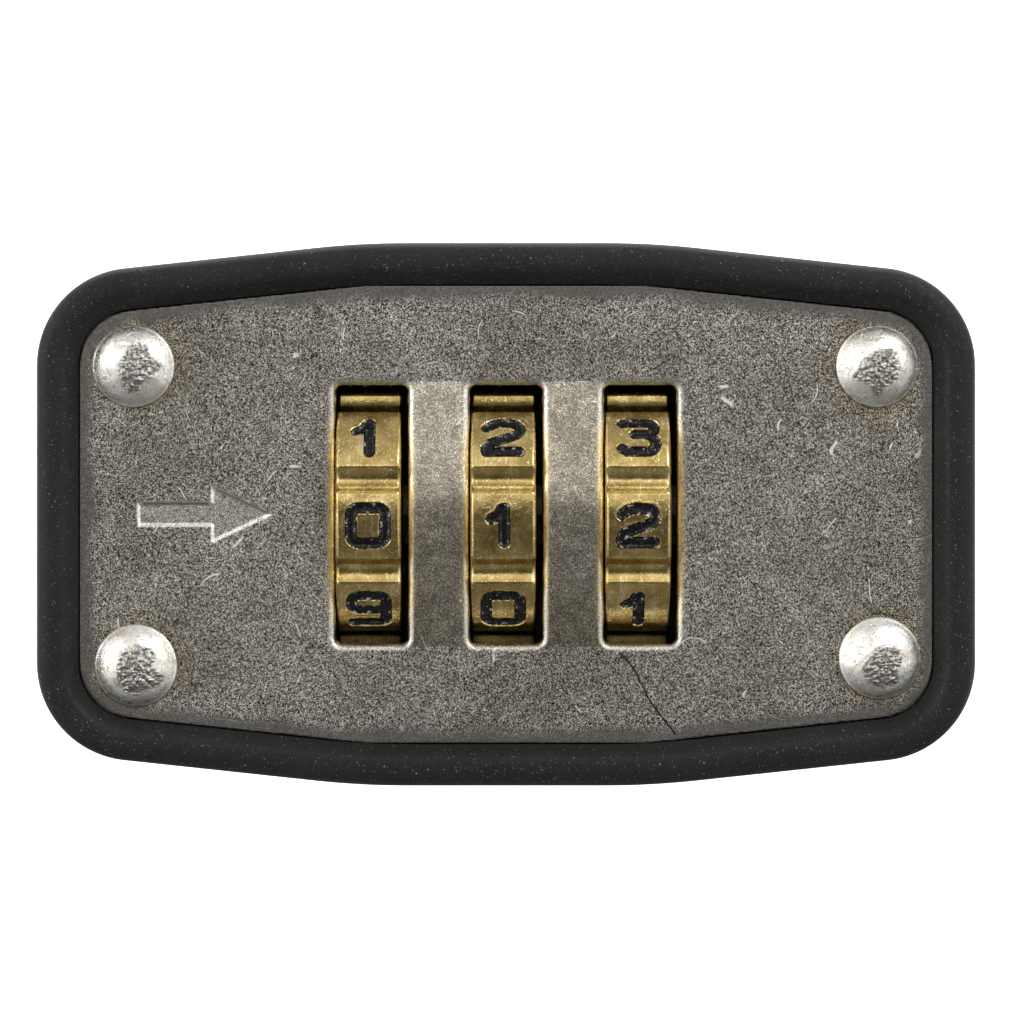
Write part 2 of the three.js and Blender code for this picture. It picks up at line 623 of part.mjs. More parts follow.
function bolt() {
  const group = new THREE.Group();
  place(group, 'lock_slide', lockSlide(rightFaces), STEEL);
  place(group, 'thumb_slide', thumbSlide(), RUBBER);
  place(group, 'thumb_screw', thumbScrew(), STEEL);
  place(group, 'change_slide', changeSlide(), STEEL);
  return group;
}

const keyLockBox = new THREE.Group();
keyLockBox.add(keyBox(), door(), dials(), bolt());

export default keyLockBox;
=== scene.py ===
"""Looks of the small key lock box: a tumbled nickel face with engraved brass dials, in a black rubber rim.

Lengths below are in millimetres unless a name says otherwise; meshes are scaled to metres as they are made.
"""

import json
import math
from functools import partialmethod

import bmesh
import bpy
import numpy as np
from mathutils import Matrix, Vector


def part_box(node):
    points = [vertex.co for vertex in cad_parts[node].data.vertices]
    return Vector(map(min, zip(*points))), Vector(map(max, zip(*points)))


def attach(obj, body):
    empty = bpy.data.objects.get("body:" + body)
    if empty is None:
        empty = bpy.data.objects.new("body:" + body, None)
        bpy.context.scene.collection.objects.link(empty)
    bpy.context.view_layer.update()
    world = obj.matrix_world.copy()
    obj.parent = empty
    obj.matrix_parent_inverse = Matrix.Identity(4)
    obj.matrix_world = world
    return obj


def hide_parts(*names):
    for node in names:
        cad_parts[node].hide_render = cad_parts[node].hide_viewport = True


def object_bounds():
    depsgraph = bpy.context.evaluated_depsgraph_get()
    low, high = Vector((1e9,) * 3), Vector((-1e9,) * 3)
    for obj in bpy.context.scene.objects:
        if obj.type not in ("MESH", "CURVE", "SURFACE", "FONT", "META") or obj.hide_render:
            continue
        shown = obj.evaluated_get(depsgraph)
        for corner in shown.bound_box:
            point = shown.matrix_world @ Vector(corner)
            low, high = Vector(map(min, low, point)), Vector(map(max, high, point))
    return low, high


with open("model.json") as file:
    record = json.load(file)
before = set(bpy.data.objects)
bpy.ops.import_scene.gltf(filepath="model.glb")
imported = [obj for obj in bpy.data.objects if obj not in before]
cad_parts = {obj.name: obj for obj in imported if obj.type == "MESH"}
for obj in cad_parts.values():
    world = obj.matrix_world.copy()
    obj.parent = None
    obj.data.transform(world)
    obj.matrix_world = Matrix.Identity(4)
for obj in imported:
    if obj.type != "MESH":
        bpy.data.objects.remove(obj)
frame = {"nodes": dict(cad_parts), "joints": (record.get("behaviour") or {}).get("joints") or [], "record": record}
cad_low, cad_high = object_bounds()

MM = 0.001


# ---- places read from the frame

def node_range(node, axis):
    """Lowest and highest coordinate of a CAD node along one axis, in millimetres."""
    low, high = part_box(node)
    return low[axis] / MM, high[axis] / MM


def node_middle(node, axis):
    return sum(node_range(node, axis)) / 2


def node_half(node, axis):
    low, high = node_range(node, axis)
    return (high - low) / 2


X, Y, Z = 0, 1, 2
HALF_WIDTH = node_range("front_bumper", X)[1]
HALF_HEIGHT = node_range("front_bumper", Z)[1]
RIM_FRONT, DOOR_RIM = node_range("front_bumper", Y)
CASE_RIM, WALL = node_range("rear_bumper", Y)
PLATE_BACK = node_range("front_plate", Y)[1]
PLATE_THICKNESS = 1.5
PLATE_FRONT = PLATE_BACK - PLATE_THICKNESS
PAD_FRONT = node_range("backing_pad", Y)[0]
SIDE_GAP = 0.01
WHEEL_RADIUS = node_half("number_wheel_2", Y)
WHEEL_HALF = node_half("number_wheel_2", X) - SIDE_GAP
WHEEL_CENTRES = [node_middle(f"number_wheel_{i}", X) for i in (1, 2, 3)]
WHEEL_PITCH = WHEEL_CENTRES[1] - WHEEL_CENTRES[0]
AXLE_Y = node_middle("number_wheel_2", Y)

# The seat is where the rivets' heads and the bumper's lip begin, just clear of the plate.
SEAT = PLATE_FRONT - 0.05
RIVETS = [(node_middle(f"rivet_{i}", X), node_middle(f"rivet_{i}", Z)) for i in (1, 2, 3, 4)]
RIVET_HEAD = node_half("rivet_1", X)
RIVET_RISE = SEAT - node_range("rivet_1", Y)[0]
RIVET_TAIL = 1.0
RIVET_TAIL_Y = node_range("rivet_1", Y)[1] - RIVET_TAIL

# The outline that the bumpers and the plate share.
CORNER = 7.3
FLAT_HALF = 10.8
SLOPE = math.radians(6.1)
CORNER_X = HALF_WIDTH - CORNER
CORNER_Z = HALF_HEIGHT - (CORNER + (CORNER_X - FLAT_HALF) * math.sin(SLOPE)) / math.cos(SLOPE)
KNEE_REACH = 3.4
BUMPER_INSET = 1.6
LIP_INSET = 3.1
PLATE_INSET = 3.13
PLATE_ROUNDING = 0.15

# Windows, arched bars, rivet holes and engraved arrow of the plate.
WINDOW_HALF_X = 2.71
WINDOW_HALF_Z = 9.675
WINDOW_CORNER = 0.5
WINDOW_ROUNDING = 0.55
BAR_CHORD = 9.9
BAR_RISE = 1.2
RIDGE_RADIUS = 1.2
RIDGE_Z = 0.7
RIVET_HOLE = 1.75
ARROW_TAIL, ARROW_NECK, ARROW_TIP = -27.4, -21.9, -17.6
ARROW_SHAFT, ARROW_HEAD = 0.8, 2.0
ARROW_DEPTH = 0.15
ARROW_WALL = 0.25

# Dials: ten lands, each with one numeral, and a groove between each two.
LANDS = 10
PITCH = 2 * math.pi / LANDS
LAND_LENGTH = WHEEL_RADIUS * PITCH
LAND_DROP = math.radians(4.4)
LAND_WEAR = 0.03
GROOVE_HALF = 0.95
GROOVE_DEPTH = 0.55
DIAL_ROUNDING = 0.3
BORE = 4.8
SPLINE_ROOT = 4.0
SPLINE_LENGTH = 1.25
STROKE_HALF = 0.41
NUMERAL_ZONE = 1.85
RECESS = 0.3
ENAMEL_DROP = 0.07

# Spacing of the points of the modelled surfaces.
COARSE = 0.3
PLATE_FINE = 0.09
DIAL_FINE = 0.075


# ---- making objects

def shade(mesh, degrees):
    """Smooth shading, apart from the edges whose faces meet at more than the angle."""
    mesh.shade_smooth()
    mesh.set_sharp_from_angle(angle=math.radians(degrees))


def add_to_scene(name, data):
    """A new object in the scene, for a mesh, a light or the camera."""
    made = bpy.data.objects.new(name, data)
    bpy.context.scene.collection.objects.link(made)
    return made


def make_object(name, points, faces, degrees=38.0):
    """A smooth-shaded mesh object from points in millimetres, with its faces turned outwards."""
    mesh = bpy.data.meshes.new(name)
    mesh.from_pydata((np.asarray(points) * MM).tolist(), [], faces)
    shell = bmesh.new()
    shell.from_mesh(mesh)
    bmesh.ops.recalc_face_normals(shell, faces=shell.faces)
    shell.to_mesh(mesh)
    shell.free()
    shade(mesh, degrees)
    return add_to_scene(name, mesh)


def add_attribute(piece, name, values):
    """Stores one number for each point, which a material reads by its name."""
    attribute = piece.data.attributes.new(name, "FLOAT", "POINT")
    attribute.data.foreach_set("value", np.asarray(values, np.float32))


def ring_faces(columns, rows):
    """Quads over a grid of points that closes on itself both ways."""
    faces = []
    for i in range(columns):
        for j in range(rows):
            i_next, j_next = (i + 1) % columns, (j + 1) % rows
            faces.append((i * rows + j, i_next * rows + j, i_next * rows + j_next, i * rows + j_next))
    return faces


def disc_faces(around, rings):
    """A fan of triangles about point 0, then quads between each ring of points and the next."""
    faces = [(0, 1 + k, 1 + (k + 1) % around) for k in range(around)]
    for ring in range(rings - 1):
        start = 1 + ring * around
        for k in range(around):
            k_next = (k + 1) % around
            faces.append((start + k, start + around + k, start + around + k_next, start + k_next))
    return faces


def grid_lines(low, high, fine, zones):
    """Coordinates from low to high, spaced finely inside the zones and coarsely between them."""
    stops = sorted({low, high, *(min(max(edge, low), high) for zone in zones for edge in zone)})
    values = [low]
    for start, stop in zip(stops, stops[1:]):
        centre = (start + stop) / 2
        inside = any(a < centre < b for a, b in zones)
        count = max(1, math.ceil((stop - start) / (fine if inside else COARSE)))
        values.extend(np.linspace(start, stop, count + 1)[1:])
    return np.array(values)


def both_sides(low, high):
    """A zone and its mirror image about zero."""
    return [(low, high), (-high, -low)]


def masked_slab(u_lines, v_lines, distance, front, back):
    """Points and faces of a closed slab over the grid cells where distance(u, v) is negative.

    Border points are moved on to the line where the distance is zero. front and back give the two skins.
    """
    u, v = np.meshgrid(u_lines, v_lines, indexing="ij")
    keep = distance((u[:-1, :-1] + u[1:, 1:]) / 2, (v[:-1, :-1] + v[1:, 1:]) / 2) < 0
    used = np.zeros(u.shape, int)
    for i in (0, 1):
        for j in (0, 1):
            used[i:u.shape[0] - 1 + i, j:v.shape[1] - 1 + j] += keep
    skin = used > 0
    border = skin & (used < 4)
    step, passes, least_slope_squared = 0.01, 3, 0.25
    for _ in range(passes):
        here = distance(u, v)
        slope_u = (distance(u + step, v) - distance(u - step, v)) / (2 * step)
        slope_v = (distance(u, v + step) - distance(u, v - step)) / (2 * step)
        scale = here / np.maximum(slope_u ** 2 + slope_v ** 2, least_slope_squared)
        u = np.where(border, u - scale * slope_u, u)
        v = np.where(border, v - scale * slope_v, v)
    number = np.full(u.shape, -1)
    number[skin] = np.arange(skin.sum())
    number = number.tolist()
    top = np.stack(front(u[skin], v[skin]), axis=1)
    bottom = np.stack(back(u[skin], v[skin]), axis=1)
    offset = len(top)
    faces = []
    for i, j in np.argwhere(keep):
        a, b, c, d = number[i][j], number[i + 1][j], number[i + 1][j + 1], number[i][j + 1]
        faces.append((a, b, c, d))
        faces.append((offset + d, offset + c, offset + b, offset + a))
        open_sides = (
            (j == 0 or not keep[i, j - 1], a, b),
            (i == keep.shape[0] - 1 or not keep[i + 1, j], b, c),
            (j == keep.shape[1] - 1 or not keep[i, j + 1], c, d),
            (i == 0 or not keep[i - 1, j], d, a),
        )
        faces.extend((q, p, offset + p, offset + q) for is_open, p, q in open_sides if is_open)
    return np.concatenate([top, bottom]), faces


def subtract_boxes(target, boxes):
    """Cuts axis-aligned boxes, given as (low, high) corners in millimetres, out of an object."""
    for low, high in boxes:
        bpy.ops.mesh.primitive_cube_add(size=1)
        cutter = bpy.context.object
        cutter.scale = [(b - a) * MM for a, b in zip(low, high)]
        cutter.location = [(a + b) / 2 * MM for a, b in zip(low, high)]
        cut = target.modifiers.new("cut", "BOOLEAN")
        cut.operation = "DIFFERENCE"
        cut.solver = "EXACT"
        cut.object = cutter
        bpy.context.view_layer.objects.active = target
        bpy.ops.object.modifier_apply(modifier=cut.name)
        bpy.data.objects.remove(cutter)


def soften_edges(target, width):
    """Small rounded edges, added by a modifier so that the mesh below stays as it is."""
    bevel = target.modifiers.new("soft_edges", "BEVEL")
    bevel.width = width * MM
    bevel.segments = 2
    bevel.limit_method = "ANGLE"
    bevel.angle_limit = math.radians(40)
    bevel.harden_normals = True
    bevel.miter_outer = "MITER_ARC"


# ---- smooth random fields

def value_noise(x, y, size, seed, z=0.0):
    """Smooth noise from -1 to 1 whose bumps are about size across. It repeats after some cells."""
    cells = 32
    table = np.random.default_rng(seed).uniform(-1, 1, (cells, cells, cells))
    position = np.stack([np.asarray(c, float) / size for c in np.broadcast_arrays(x, y, z)])
    base = np.floor(position).astype(int)
    part = position - base
    blend = part * part * (3 - 2 * part)
    total = 0.0
    for corner in np.ndindex(2, 2, 2):
        weight = 1.0
        for axis in range(3):
            weight = weight * (blend[axis] if corner[axis] else 1 - blend[axis])
        cell = [(base[axis] + corner[axis]) % cells for axis in range(3)]
        total = total + weight * table[cell[0], cell[1], cell[2]]
    return total


# ---- distances in the plane of the face

def outline_distance(x, z):
    """Signed distance to the plate's outline; negative inside."""
    x, z = np.abs(x), np.abs(z)
    top = z - HALF_HEIGHT
    slope = (x - FLAT_HALF) * math.sin(SLOPE) + (z - HALF_HEIGHT) * math.cos(SLOPE)
    flats = np.maximum(np.maximum(top, slope), x - HALF_WIDTH)
    past_x, past_z = x - CORNER_X, z - CORNER_Z
    in_corner = (past_z > 0) & (past_x * math.cos(SLOPE) - past_z * math.sin(SLOPE) > 0)
    return np.where(in_corner, np.hypot(past_x, past_z) - CORNER, flats) + PLATE_INSET


def window_distance(x, z):
    """Signed distance to the nearest of the three windows; negative inside a window."""
    nearest = [np.abs(x - step * WHEEL_PITCH) for step in (-1, 0, 1)]
    side = np.minimum.reduce(nearest) - WINDOW_HALF_X + WINDOW_CORNER
    top = np.abs(z) - WINDOW_HALF_Z + WINDOW_CORNER
    outside = np.hypot(np.maximum(side, 0), np.maximum(top, 0))
    return outside + np.minimum(np.maximum(side, top), 0) - WINDOW_CORNER


def rivet_distance(x, z):
    """Distance to the axis of the nearest rivet."""
    return np.minimum.reduce([np.hypot(x - rivet_x, z - rivet_z) for rivet_x, rivet_z in RIVETS])


def segment_distance(x, z, start, stop):
    """Distance to the straight line between two points."""
    ax, az = start
    bx, bz = stop[0] - ax, stop[1] - az
    above_zero = 1e-9
    length_squared = max(bx * bx + bz * bz, above_zero)
    along = np.clip(((x - ax) * bx + (z - az) * bz) / length_squared, 0, 1)
    return np.hypot(x - ax - along * bx, z - az - along * bz)


def arrow_distance(x, z):
    """Signed distance to the arrow's outline; negative inside. The arrow is symmetric about z = 0."""
    z = np.abs(z)
    corners = [
        (ARROW_TAIL, 0.0), (ARROW_TAIL, ARROW_SHAFT), (ARROW_NECK, ARROW_SHAFT),
        (ARROW_NECK, ARROW_HEAD), (ARROW_TIP, 0.0),
    ]
    edges = [segment_distance(x, z, a, b) for a, b in zip(corners, corners[1:])]
    head_line = ARROW_HEAD * (ARROW_TIP - x) / (ARROW_TIP - ARROW_NECK)
    in_shaft = (x > ARROW_TAIL) & (x <= ARROW_NECK) & (z < ARROW_SHAFT)
    in_head = (x > ARROW_NECK) & (x < ARROW_TIP) & (z < head_line)
    return np.where(in_shaft | in_head, -1, 1) * np.minimum.reduce(edges)


def round_over(depth_inside, radius):
    """How far a rounded edge of that radius falls away, by the distance in from the edge."""
    left = np.clip(radius - depth_inside, 0, radius)
    return radius - np.sqrt(radius ** 2 - left ** 2)


# ---- the numerals

def arc_points(centre_x, centre_z, radius, start, stop, steps=7):
    """Points on an arc. Angles are in degrees, counterclockwise from the right."""
    angles = np.radians(np.linspace(start, stop, steps))
    return [(centre_x + radius * math.cos(a), centre_z + radius * math.sin(a)) for a in angles]


def rounded_loop(left, right, low, high, corner):
    """Closed rounded rectangle, starting at the top right-hand corner."""
    middles = [
        (right - corner, high - corner), (left + corner, high - corner),
        (left + corner, low + corner), (right - corner, low + corner),
    ]
    points = []
    for quarter, (x, z) in enumerate(middles):
        points += arc_points(x, z, corner, 90 * quarter, 90 * quarter + 90)
    return points + points[:1]


def numeral_strokes(numeral):
    """Centre lines of one numeral, as lists of (across, up) points. It is about 2.6 square."""
    shapes = {
        0: [rounded_loop(-1.28, 1.28, -1.3, 1.3, 0.55)],
        1: [[(0.08, -1.3), (0.08, 1.28), (-0.1, 1.22), (-0.42, 0.72), (-0.88, 0.5)]],
        2: [[
            (-1.22, 0.82), (-0.75, 1.16), *arc_points(-0.05, 0.1, 1.2, 108, 72, 4),
            *arc_points(0.62, 0.66, 0.62, 62, -52), (-0.85, -0.5),
            *arc_points(-0.72, -1.0, 0.52, 120, 180, 4), (-1.24, -1.28), (1.22, -1.27),
        ]],
        3: [
            [(-1.15, 1.22), (0.72, 1.27), *arc_points(0.72, 0.77, 0.5, 90, -60), (0.6, 0.22), (-0.2, 0.24)],
            [(0.5, 0.2), *arc_points(0.62, -0.56, 0.72, 70, -75), (0.6, -1.28), (-0.75, -1.24), (-1.18, -1)],
        ],
        4: [[(0.55, -1.3), (0.55, 1.28), (0.3, 1.28), (-1.25, -0.35), (-1.2, -0.6), (1.25, -0.6)]],
        5: [[
            (1.15, 1.27), (-1.1, 1.27), (-1.1, 0.28), (0.7, 0.28),
            *arc_points(0.62, -0.5, 0.78, 80, -80), (-1.2, -1.28),
        ]],
        7: [[(-1.2, 1.27), (1.12, 1.27), (1.15, 1.0), (0.1, -0.25), (-0.12, -1.3)]],
        8: [rounded_loop(-1.12, 1.12, 0.02, 1.3, 0.45), rounded_loop(-1.28, 1.28, -1.3, 0.02, 0.5)],
        9: [
            rounded_loop(-1.27, 1.27, -0.02, 1.3, 0.5),
            [(1.27, 0.7), *arc_points(0.87, -0.9, 0.4, 0, -90), (-1.15, -1.3)],
        ],
    }
    if numeral == 6:
        return [[(-x, -z) for x, z in line] for line in shapes[9]]
    return shapes[numeral]


def numeral_distance(numeral, across, up):
    """Signed distance to the edge of a numeral's strokes, a little uneven as struck metal is."""
    nearest = [
        segment_distance(across, up, a, b)
        for line in numeral_strokes(numeral) for a, b in zip(line, line[1:])
    ]
    uneven = 0.016 * value_noise(across, up, 0.28, 5, z=numeral)
    return np.minimum.reduce(nearest) - STROKE_HALF + uneven


# ---- dials

def wheel_point(arc, across, radius):
    """A point on a dial about the origin. arc runs upwards from the front, on the full radius."""
    angle = arc / WHEEL_RADIUS
    return across, -radius * np.cos(angle), radius * np.sin(angle)


def land_arc(land):
    """Centre of a land. Land 0 has the numeral 0 and sits just below the front; numbers rise upwards."""
    return WHEEL_RADIUS * (land * PITCH - LAND_DROP)


def wheel_relief(arc, across, numeral_field):
    """Depth of a dial's rim below its full radius."""
    from_groove = (arc - land_arc(0.5) + LAND_LENGTH / 2) % LAND_LENGTH - LAND_LENGTH / 2
    groove = GROOVE_DEPTH * np.clip(1 - (from_groove / GROOVE_HALF) ** 2, 0, 1)
    edge = round_over(WHEEL_HALF - np.abs(across), DIAL_ROUNDING)
    recess_wall, burr_height, burr_place, burr_width = 0.13, 0.02, 0.06, 0.05
    struck = RECESS * np.clip(-numeral_field / recess_wall, 0, 1) ** 0.7
    burr = burr_height * np.exp(-((numeral_field - burr_place) / burr_width) ** 2)
    worn = 0.012 * value_noise(arc, across, 0.9, 11)
    return LAND_WEAR + groove + edge + struck - burr + worn


def dial_mesh():
    """The brass dial: a ring with grooves, recessed numerals and a toothed bore."""
    half_land = LAND_LENGTH / 2
    numeral = (-NUMERAL_ZONE, NUMERAL_ZONE)
    grooves = both_sides(half_land - GROOVE_HALF, half_land)
    rounded = both_sides(WHEEL_HALF - DIAL_ROUNDING, WHEEL_HALF)
    template = grid_lines(-half_land, half_land, DIAL_FINE, [numeral, *grooves])[:-1]
    rim_across = grid_lines(-WHEEL_HALF, WHEEL_HALF, DIAL_FINE, [numeral, *rounded])
    spline_start = WHEEL_HALF - SPLINE_LENGTH
    step_width, tooth_half = 0.02, math.radians(6)
    bore_across = np.array([WHEEL_HALF, spline_start + step_width, spline_start, -WHEEL_HALF])
    columns = []
    for land in range(LANDS):
        arc, across = np.meshgrid(template + land_arc(land), rim_across, indexing="ij")
        field = numeral_distance(land, across, arc - land_arc(land))
        radius = WHEEL_RADIUS - wheel_relief(arc, across, field)
        rim = np.stack(wheel_point(arc, across, radius), axis=2)
        tooth = np.abs(template) / WHEEL_RADIUS < tooth_half
        inner = np.full((len(template), len(bore_across)), BORE)
        inner[:, :2] = np.where(tooth, SPLINE_ROOT, BORE)[:, None]
        bore_arc, bore_x = np.meshgrid(template + land_arc(land), bore_across, indexing="ij")
        bore = np.stack(wheel_point(bore_arc, bore_x, inner), axis=2)
        columns.append(np.concatenate([rim, bore], axis=1))
    grid = np.concatenate(columns, axis=0)
    return grid.reshape(-1, 3), ring_faces(grid.shape[0], grid.shape[1])


def numeral_paint(numeral):
    """The black paint in one recessed numeral, a thin closed body: its points, its faces and its border.

    The border is a number for each point, from 0 in the middle of the paint to 1 at its edge; the paint's material
    puts painted glints where it is high.
    """
    wall_gap, dip_reach, dip_depth, underlap, border_width = 0.035, 0.3, 0.14, 0.02, 0.16
    half_turn = math.pi * WHEEL_RADIUS

    def edge(arc, across):
        return numeral_distance(numeral, across, arc) + wall_gap

    def front(arc, across):
        to_wall = 1 - np.clip(-edge(arc, across) / dip_reach, 0, 1)
        dip = dip_depth * (1 - to_wall ** 2)
        rough = 0.02 * value_noise(across, arc, 0.15, 21, z=numeral)
        return wheel_point(arc + land_arc(numeral), across, WHEEL_RADIUS - ENAMEL_DROP - dip - rough)

    def back(arc, across):
        return wheel_point(arc + land_arc(numeral), across, WHEEL_RADIUS - RECESS - underlap + 0 * arc)

    lines = np.arange(-1.9, 1.9, DIAL_FINE)
    points, faces = masked_slab(lines, lines, edge, front, back)
    arc = np.arctan2(points[:, 2], -points[:, 1]) * WHEEL_RADIUS - land_arc(numeral)
    arc = (arc + half_turn) % (2 * half_turn) - half_turn
    return points, faces, np.clip(1.2 + edge(arc, points[:, 0]) / border_width, 0, 1)


def enamel_mesh():
    """The paint of all ten numerals of a dial in one piece: points, faces and border."""
    points, faces, border = np.empty((0, 3)), [], np.empty(0)
    for numeral in range(LANDS):
        new_points, new_faces, new_border = numeral_paint(numeral)
        faces += [tuple(n + len(points) for n in face) for face in new_faces]
        points = np.concatenate([points, new_points])
        border = np.concatenate([border, new_border])
    return points, faces, border


def make_dials(brass, paint):
    """Three dials with their paint, each turned one number further than the one before."""
    dial = dial_mesh()
    *enamel, border = enamel_mesh()
    for index, centre in enumerate(WHEEL_CENTRES):
        wheel = make_object(f"dial_{index + 1}", *dial, degrees=50)
        numerals = make_object(f"dial_numerals_{index + 1}", *enamel, degrees=60)
        add_attribute(numerals, "border", border)
        place = Matrix.Translation((centre * MM, AXLE_Y * MM, 0)) @ Matrix.Rotation(index * PITCH, 4, "X")
        for piece, look, slot in ((wheel, brass, "dial_brass"), (numerals, paint, "dial_paint")):
            piece.data.transform(place)
            piece.data.materials.append(look)
            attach(piece, f"wheel_{index + 1}")
        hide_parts(f"number_wheel_{index + 1}")


# ---- face plate

def plate_distance(x, z):
    """Signed distance to the edge of the plate or of a hole in it; negative in the metal."""
    holes = np.minimum(window_distance(x, z), rivet_distance(x, z) - RIVET_HOLE)
    return np.maximum(outline_distance(x, z), -holes)


def on_bars(x, z):
    """True on the two bars that stand between the windows."""
    slack = 0.01
    between = (np.abs(x) > WINDOW_HALF_X - slack) & (np.abs(x) < WHEEL_PITCH - WINDOW_HALF_X + slack)
    return between & (np.abs(z) < BAR_CHORD)


def plate_height(x, z):
    """How far the plate's front stands out from its flat level."""
    slope_length = np.where(z > RIDGE_Z, BAR_CHORD - RIDGE_Z, BAR_CHORD + RIDGE_Z)
    fall = np.hypot(z - RIDGE_Z, RIDGE_RADIUS) - RIDGE_RADIUS
    full_fall = np.hypot(slope_length, RIDGE_RADIUS) - RIDGE_RADIUS
    bars = np.where(on_bars(x, z), BAR_RISE * (1 - fall / full_fall), 0)
    window_edges = round_over(window_distance(x, z), WINDOW_ROUNDING)
    outer_edge = round_over(-outline_distance(x, z), PLATE_ROUNDING)
    engraved = ARROW_DEPTH * np.clip(0.5 - arrow_distance(x, z) / ARROW_WALL, 0, 1)
    tumbled = 0.012 * value_noise(x, z, 2.2, 3) + 0.006 * value_noise(x, z, 0.8, 4)
    return bars - (window_edges + outer_edge) - engraved + tumbled


def plate_grid():
    """Coordinates in x and in z of the plate's points, closer at the windows, arrow and edge."""
    arrow_margin, end_margin, end_line = 0.2, 0.6, 0.01
    edge_x, edge_z = 30.4, 14.2
    x_zones = [(ARROW_TAIL - arrow_margin, ARROW_TIP + arrow_margin), *both_sides(edge_x, HALF_WIDTH)]
    for edge in (WINDOW_HALF_X, WHEEL_PITCH - WINDOW_HALF_X, WHEEL_PITCH + WINDOW_HALF_X):
        x_zones += both_sides(edge - WINDOW_ROUNDING, edge) + both_sides(edge, edge + WINDOW_ROUNDING)
    z_zones = [
        (-ARROW_HEAD - arrow_margin, ARROW_HEAD + arrow_margin),
        *both_sides(edge_z, HALF_HEIGHT),
        *both_sides(WINDOW_HALF_Z - end_margin, WINDOW_HALF_Z + end_margin),
        *both_sides(WINDOW_HALF_Z - end_line, WINDOW_HALF_Z),
    ]
    half_x, half_z = HALF_WIDTH - PLATE_INSET, HALF_HEIGHT - PLATE_INSET
    return grid_lines(-half_x, half_x, PLATE_FINE, x_zones), grid_lines(-half_z, half_z, PLATE_FINE, z_zones)


def plate_marks(x, z):
    """Where the plate's metal differs, or where its colour holds painted light or shade: for each name that a
    material reads, 0 to 1 for each point.
    """
    windows, arrow = window_distance(x, z), arrow_distance(x, z)
    # The windows' edges and the arrow: partly burnished metal, also smoother, and partly a painted highlight in
    # near-white.
    polished_and_highlit = np.maximum.reduce([
        np.clip(1.1 - windows / 0.52, 0, 1),
        np.clip(1.7 - np.abs(arrow) / 0.1, 0, 1),
        np.where(arrow < 0, 0.2, 0),
    ])
    # A yellow tint on the windows' rounded edges, strongest halfway up: a painted reflection of the brass dials
    # beside them.
    from_middle = np.abs(z + 0.6)
    painted_brass_reflection = np.clip(1.3 - np.abs(windows - 0.25) / 0.35, 0, 1) * np.clip((8.4 - from_middle) / 3.0, 0, 1)
    ring_radius, ring_fade = 3.2, 0.9
    # A dark band along the plate's edge: painted shade and a painted reflection of the black rubber rim next to
    # it.
    border_width = 1.35 + 0.3 * value_noise(x, z, 1.4, 31)
    border = np.clip((border_width + outline_distance(x, z)) / 0.7, 0, 1)
    # Painted shade on the arrow's upper walls, which face down, away from the light.
    from_end_walls = np.minimum(np.abs(x - ARROW_TAIL), np.abs(x - ARROW_NECK))
    upper_wall = (z > 0) & (from_end_walls > ARROW_WALL)
    shaded = np.where(upper_wall, np.clip(1.5 - np.abs(arrow) / 0.08, 0, 1), 0)
    return {
        "polished_and_highlit": polished_and_highlit,
        "pressed": on_bars(x, z),
        "painted_brass_reflection": painted_brass_reflection,
        "tarnished": np.exp(-np.clip(rivet_distance(x, z) - ring_radius, 0, None) / ring_fade),
        "painted_shade": np.maximum(border, shaded),
    }


def make_plate(look):
    """The nickel plate with its windows, bars, rivet holes and arrow."""
    points, faces = masked_slab(
        *plate_grid(),
        plate_distance,
        lambda x, z: (x, PLATE_FRONT - plate_height(x, z), z),
        lambda x, z: (x, PLATE_BACK + 0 * x, z),
    )
    plate = make_object("face_plate", points, faces)
    for name, values in plate_marks(points[:, 0], points[:, 2]).items():
        add_attribute(plate, name, values)
    plate.data.materials.append(look)
    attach(plate, "door")
    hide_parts("front_plate")


# ---- rubber bumpers

def eased_corner(start, corner, stop, steps):
    """Points of a curve that leaves start towards the corner and reaches stop from it."""
    return [
        tuple((1 - t) ** 2 * start + 2 * t * (1 - t) * corner + t * t * stop)
        for t in np.linspace(0, 1, steps + 1)
    ]


def outline_ring(inset, corner_steps=20, slope_steps=9, knee_steps=8, flat_steps=12):
    """Points round the outline moved inwards by the inset, counterclockwise from the right.

    The knee between the flat and the slope is eased over KNEE_REACH to each side.
    """
    radius = CORNER - inset
    angles = np.linspace(0, math.pi / 2 - SLOPE, corner_steps + 1)
    corner = [(CORNER_X + radius * math.cos(a), CORNER_Z + radius * math.sin(a)) for a in angles]
    shoulder = np.array(corner[-1])
    knee = np.array([FLAT_HALF - inset * math.tan(SLOPE / 2), HALF_HEIGHT - inset])
    before = knee + KNEE_REACH * np.array([math.cos(SLOPE), -math.sin(SLOPE)])
    after = knee - np.array([KNEE_REACH, 0])
    slope = [tuple(shoulder + (before - shoulder) * t) for t in np.linspace(0, 1, slope_steps + 1)[1:]]
    quarter = corner + slope + eased_corner(before, knee, after, knee_steps)[1:]
    flat = [(after[0] * (1 - 2 * t), after[1]) for t in np.linspace(0, 1, flat_steps + 1)[1:-1]]
    upper = quarter + flat + [(-x, z) for x, z in reversed(quarter)]
    side = [(-HALF_WIDTH + inset, CORNER_Z * (1 - 2 * t)) for t in np.linspace(0, 1, flat_steps + 1)[1:-1]]
    half = upper + side
    return half + [(-x, -z) for x, z in half]


def rounded_profile(corners):
    """Closed profile of (inset, y) points. Each corner is (inset, y, radius, steps)."""
    profile = []
    for index, (inset, y, radius, steps) in enumerate(corners):
        here = np.array([inset, y])
        before = np.array(corners[index - 1][:2]) - here
        after = np.array(corners[(index + 1) % len(corners)][:2]) - here
        if radius == 0:
            profile.append(tuple(here))
            continue
        start = here + before / np.linalg.norm(before) * radius
        stop = here + after / np.linalg.norm(after) * radius
        profile += eased_corner(start, here, stop, steps)
    return profile


